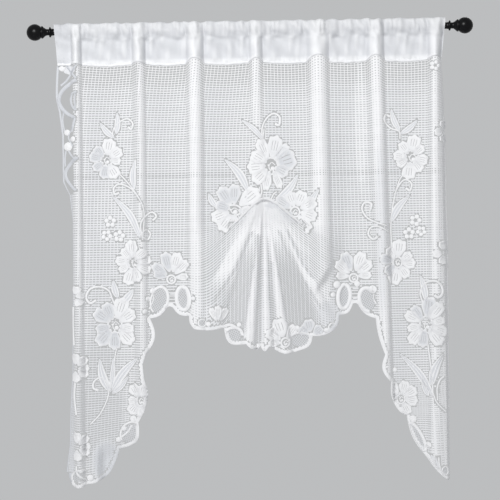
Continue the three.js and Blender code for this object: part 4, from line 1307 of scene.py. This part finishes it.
class Recipe:
    """A material and the nodes it is made of."""

    def __init__(self, name):
        self.material = bpy.data.materials.new(name)
        self.material.use_nodes = True
        self.tree = self.material.node_tree
        self.tree.nodes.clear()

    def add(self, kind, settings=None, inputs=None, output=0):
        """Adds a shader node: its settings first, then values or links for its sockets."""
        node = self.tree.nodes.new("ShaderNode" + kind)
        for key, value in (settings or {}).items():
            setattr(node, key, value)
        for key, value in (inputs or {}).items():
            if isinstance(value, Signal):
                self.tree.links.new(value.socket, node.inputs[key])
            else:
                node.inputs[key].default_value = value
        return Signal(self, node.outputs[output])

    def mix(self, share, first, second):
        """A colour between two, by share."""
        sockets = {"Factor": share, 6: first, 7: second}
        return self.add("Mix", {"data_type": "RGBA"}, sockets, output=2)

    def noise(self, place, scale, detail=2.0):
        """Soft noise from 0 to 1."""
        return self.add("TexNoise", inputs={"Vector": place, "Scale": scale, "Detail": detail})

    def finish(self, shader):
        """Puts the shader on the surface and gives the material."""
        node = self.tree.nodes.new("ShaderNodeOutputMaterial")
        self.tree.links.new(shader.socket, node.inputs["Surface"])
        return self.material


# The thin colours stand for thinner work and also for painted shade
WHITE_LACE, THIN_AND_SHADED_LACE = (0.90, 0.90, 0.91, 1), (0.55, 0.57, 0.61, 1)
WHITE_CLOTH, SHEER_AND_SHADED_CLOTH = (0.85, 0.855, 0.87, 1), (0.655, 0.665, 0.69, 1)
SPOT_SHADE = 0.93    # the colour of the cotton's spots, as a share of its own


def cotton(name, colour, thin_and_shaded_colour, thread, pitch, through, roundness=1.0):
    """White cotton, in the thin colour where the mesh's fill is low, which is partly painted shade: a
    weave or thread relief on the cloth's own map, slight unevenness in colour, and a share of light
    that comes through. thread is the relief's height and pitch the weave's wave length, in metres on
    the cloth's map. Round threads also face forward where the cloth turns aside or up, so a roundness
    under 1 narrows the shading normal that way."""
    recipe = Recipe(name)
    place = recipe.add("UVMap", {"uv_map": "cloth"})
    split = recipe.add("SeparateXYZ", inputs={0: place})
    across = Signal(recipe, split.socket.node.outputs["X"])
    down = Signal(recipe, split.socket.node.outputs["Y"])
    waves = (across * (2 * math.pi / pitch)).sine() * (down * (2 * math.pi / pitch)).sine()
    spots, slubs = recipe.noise(place, 38.0, 3.0), recipe.noise(place, 900.0)
    tone = recipe.mix(spots * 0.5 + slubs * 0.3, colour, tuple(SPOT_SHADE * c for c in colour[:3]) + (1,))
    # The fill holds the work's density and also the painted shade and light of each mesh
    fill = recipe.add("Attribute", {"attribute_name": "fill"}, output="Fac")
    tone = recipe.mix(fill, thin_and_shaded_colour, tone)
    facing = recipe.add("NewGeometry", output="Normal")
    sockets = {0: facing, 1: (roundness, 1, roundness)}
    facing = recipe.add("VectorMath", {"operation": "MULTIPLY"}, sockets)
    facing = recipe.add("VectorMath", {"operation": "NORMALIZE"}, {0: facing})
    relief = waves * 0.5 + slubs * 0.6
    sockets = {"Strength": 0.35, "Distance": thread, "Height": relief, "Normal": facing}
    sockets = {"Base Color": tone, "Normal": recipe.add("Bump", inputs=sockets)}
    sockets |= {"Roughness": 0.85 - slubs * 0.15, "Specular IOR Level": 0.2}
    body = recipe.add("BsdfPrincipled", inputs=sockets)
    light = recipe.add("BsdfTranslucent", inputs={"Color": colour})
    return recipe.finish(recipe.add("MixShader", inputs={0: through, 1: body, 2: light}))


def black_enamel(name):
    """Satin black paint on metal: near black, with a slightly uneven gloss."""
    recipe = Recipe(name)
    place = recipe.add("TexCoord", output="Object")
    cloud, grit = recipe.noise(place, 60.0, 4.0), recipe.noise(place, 900.0)
    colour = recipe.mix(cloud, (0.0015, 0.0015, 0.002, 1), (0.004, 0.004, 0.0045, 1))
    bumped = recipe.add("Bump", inputs={"Strength": 0.08, "Distance": 0.0004, "Height": grit})
    sockets = {"Base Color": colour, "Normal": bumped}
    sockets |= {"Roughness": 0.24 + cloud * 0.1, "Specular IOR Level": 0.16}
    return recipe.finish(recipe.add("BsdfPrincipled", inputs=sockets))


def floor_paint(name):
    """Matt pale grey paint for the studio's floor."""
    recipe = Recipe(name)
    cloud = recipe.noise(recipe.add("TexCoord", output="Object"), 3.0)
    colour = recipe.mix(cloud, (0.49, 0.50, 0.51, 1), (0.53, 0.53, 0.54, 1))
    sockets = {"Base Color": colour, "Roughness": 0.95}
    return recipe.finish(recipe.add("BsdfPrincipled", inputs=sockets))


# Camera, light and stage

# Places and sizes here are in metres, but for the lens, the sensor and the floor's level
CAMERA_AT = (-0.00864, -5.0, -0.5307)
CAMERA_LENS, SENSOR_WIDTH = 150, 36
CAMERA_LEAN = math.radians(0.972)
SKY_COLOUR, SKY_STRENGTH = (0.97, 0.985, 1.0, 1), 0.52
LAMPS_AIM_AT = (0, 0, -0.5)
# The lamps: name, place, size, power in watts
LAMPS = [("window_light", (-0.9, -3.3, 1.0), 1.3, 105), ("rear_fill", (0.6, 2.4, 0.5), 2.0, 26)]
FLOOR_Z = -1350


def studio():
    """The camera straight in front, a large soft light at the upper left and a weak one behind."""
    camera = bpy.data.objects.new("camera", bpy.data.cameras.new("camera"))
    camera.data.lens, camera.data.sensor_width = CAMERA_LENS, SENSOR_WIDTH
    camera.location, camera.rotation_euler = CAMERA_AT, (math.pi / 2, CAMERA_LEAN, 0)
    bpy.context.scene.collection.objects.link(camera)
    bpy.context.scene.camera = camera
    world = bpy.data.worlds.new("studio")
    bpy.context.scene.world = world
    world.use_nodes = True
    back = world.node_tree.nodes["Background"]
    back.inputs["Color"].default_value = SKY_COLOUR
    back.inputs["Strength"].default_value = SKY_STRENGTH
    for name, place, size, power in LAMPS:
        lamp = bpy.data.lights.new(name, "AREA")
        lamp.size, lamp.energy = size, power
        holder = bpy.data.objects.new(name, lamp)
        holder.location = place
        away = np.array(place) - np.array(LAMPS_AIM_AT)
        flat = math.hypot(away[0], away[1])
        holder.rotation_euler = (math.atan2(flat, away[2]), 0, math.atan2(away[0], -away[1]))
        bpy.context.scene.collection.objects.link(holder)


def floor():
    """A round floor: rings about the middle, a quarter of a metre below the curtain."""
    radius = np.array([1, 600, 1200, 1750.0])[:, None]
    turn = np.linspace(0, 2 * np.pi, 73)[None, :-1]
    points = [radius * np.cos(turn), radius * np.sin(turn), FLOOR_Z + 0 * turn * radius]
    points = np.stack(points, axis=-1).reshape(-1, 3)
    piece = make_piece("studio_floor", points, grid_faces(4, 72, closed=True))
    piece.data.materials.append(floor_paint("floor_paint"))


# Putting it together

bpy.context.scene.view_settings.view_transform = "Standard"
studio()
floor()

lace = lace_panel()
lace_cotton = cotton(
    "lace_cotton", WHITE_LACE, THIN_AND_SHADED_LACE, thread=0.0006, pitch=0.0012, through=0.3, roundness=0.42
)
lace.data.materials.append(lace_cotton)
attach(lace, "root")
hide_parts("lace_panel")

band = heading()
heading_cotton = cotton(
    "heading_cotton", WHITE_CLOTH, SHEER_AND_SHADED_CLOTH, thread=0.0004, pitch=0.0009, through=0.15
)
band.data.materials.append(heading_cotton)
seam = seam_roll()
seam_cotton = cotton(
    "seam_cotton", WHITE_CLOTH, SHEER_AND_SHADED_CLOTH, thread=0.0006, pitch=0.0016, through=0.05
)
seam.data.materials.append(seam_cotton)
for piece in (band, seam):
    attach(piece, "root")
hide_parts("heading")

enamel = black_enamel("rod_enamel")
for side, name in ((-1, "left"), (1, "right")):
    knob = finial(f"finial_{name}_turned", side)
    knob.data.materials.append(enamel)
    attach(knob, "root")
    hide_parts(f"finial_{name}")
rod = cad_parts["curtain_rod"]
for entry in rod.material_slots:
    entry.material = enamel
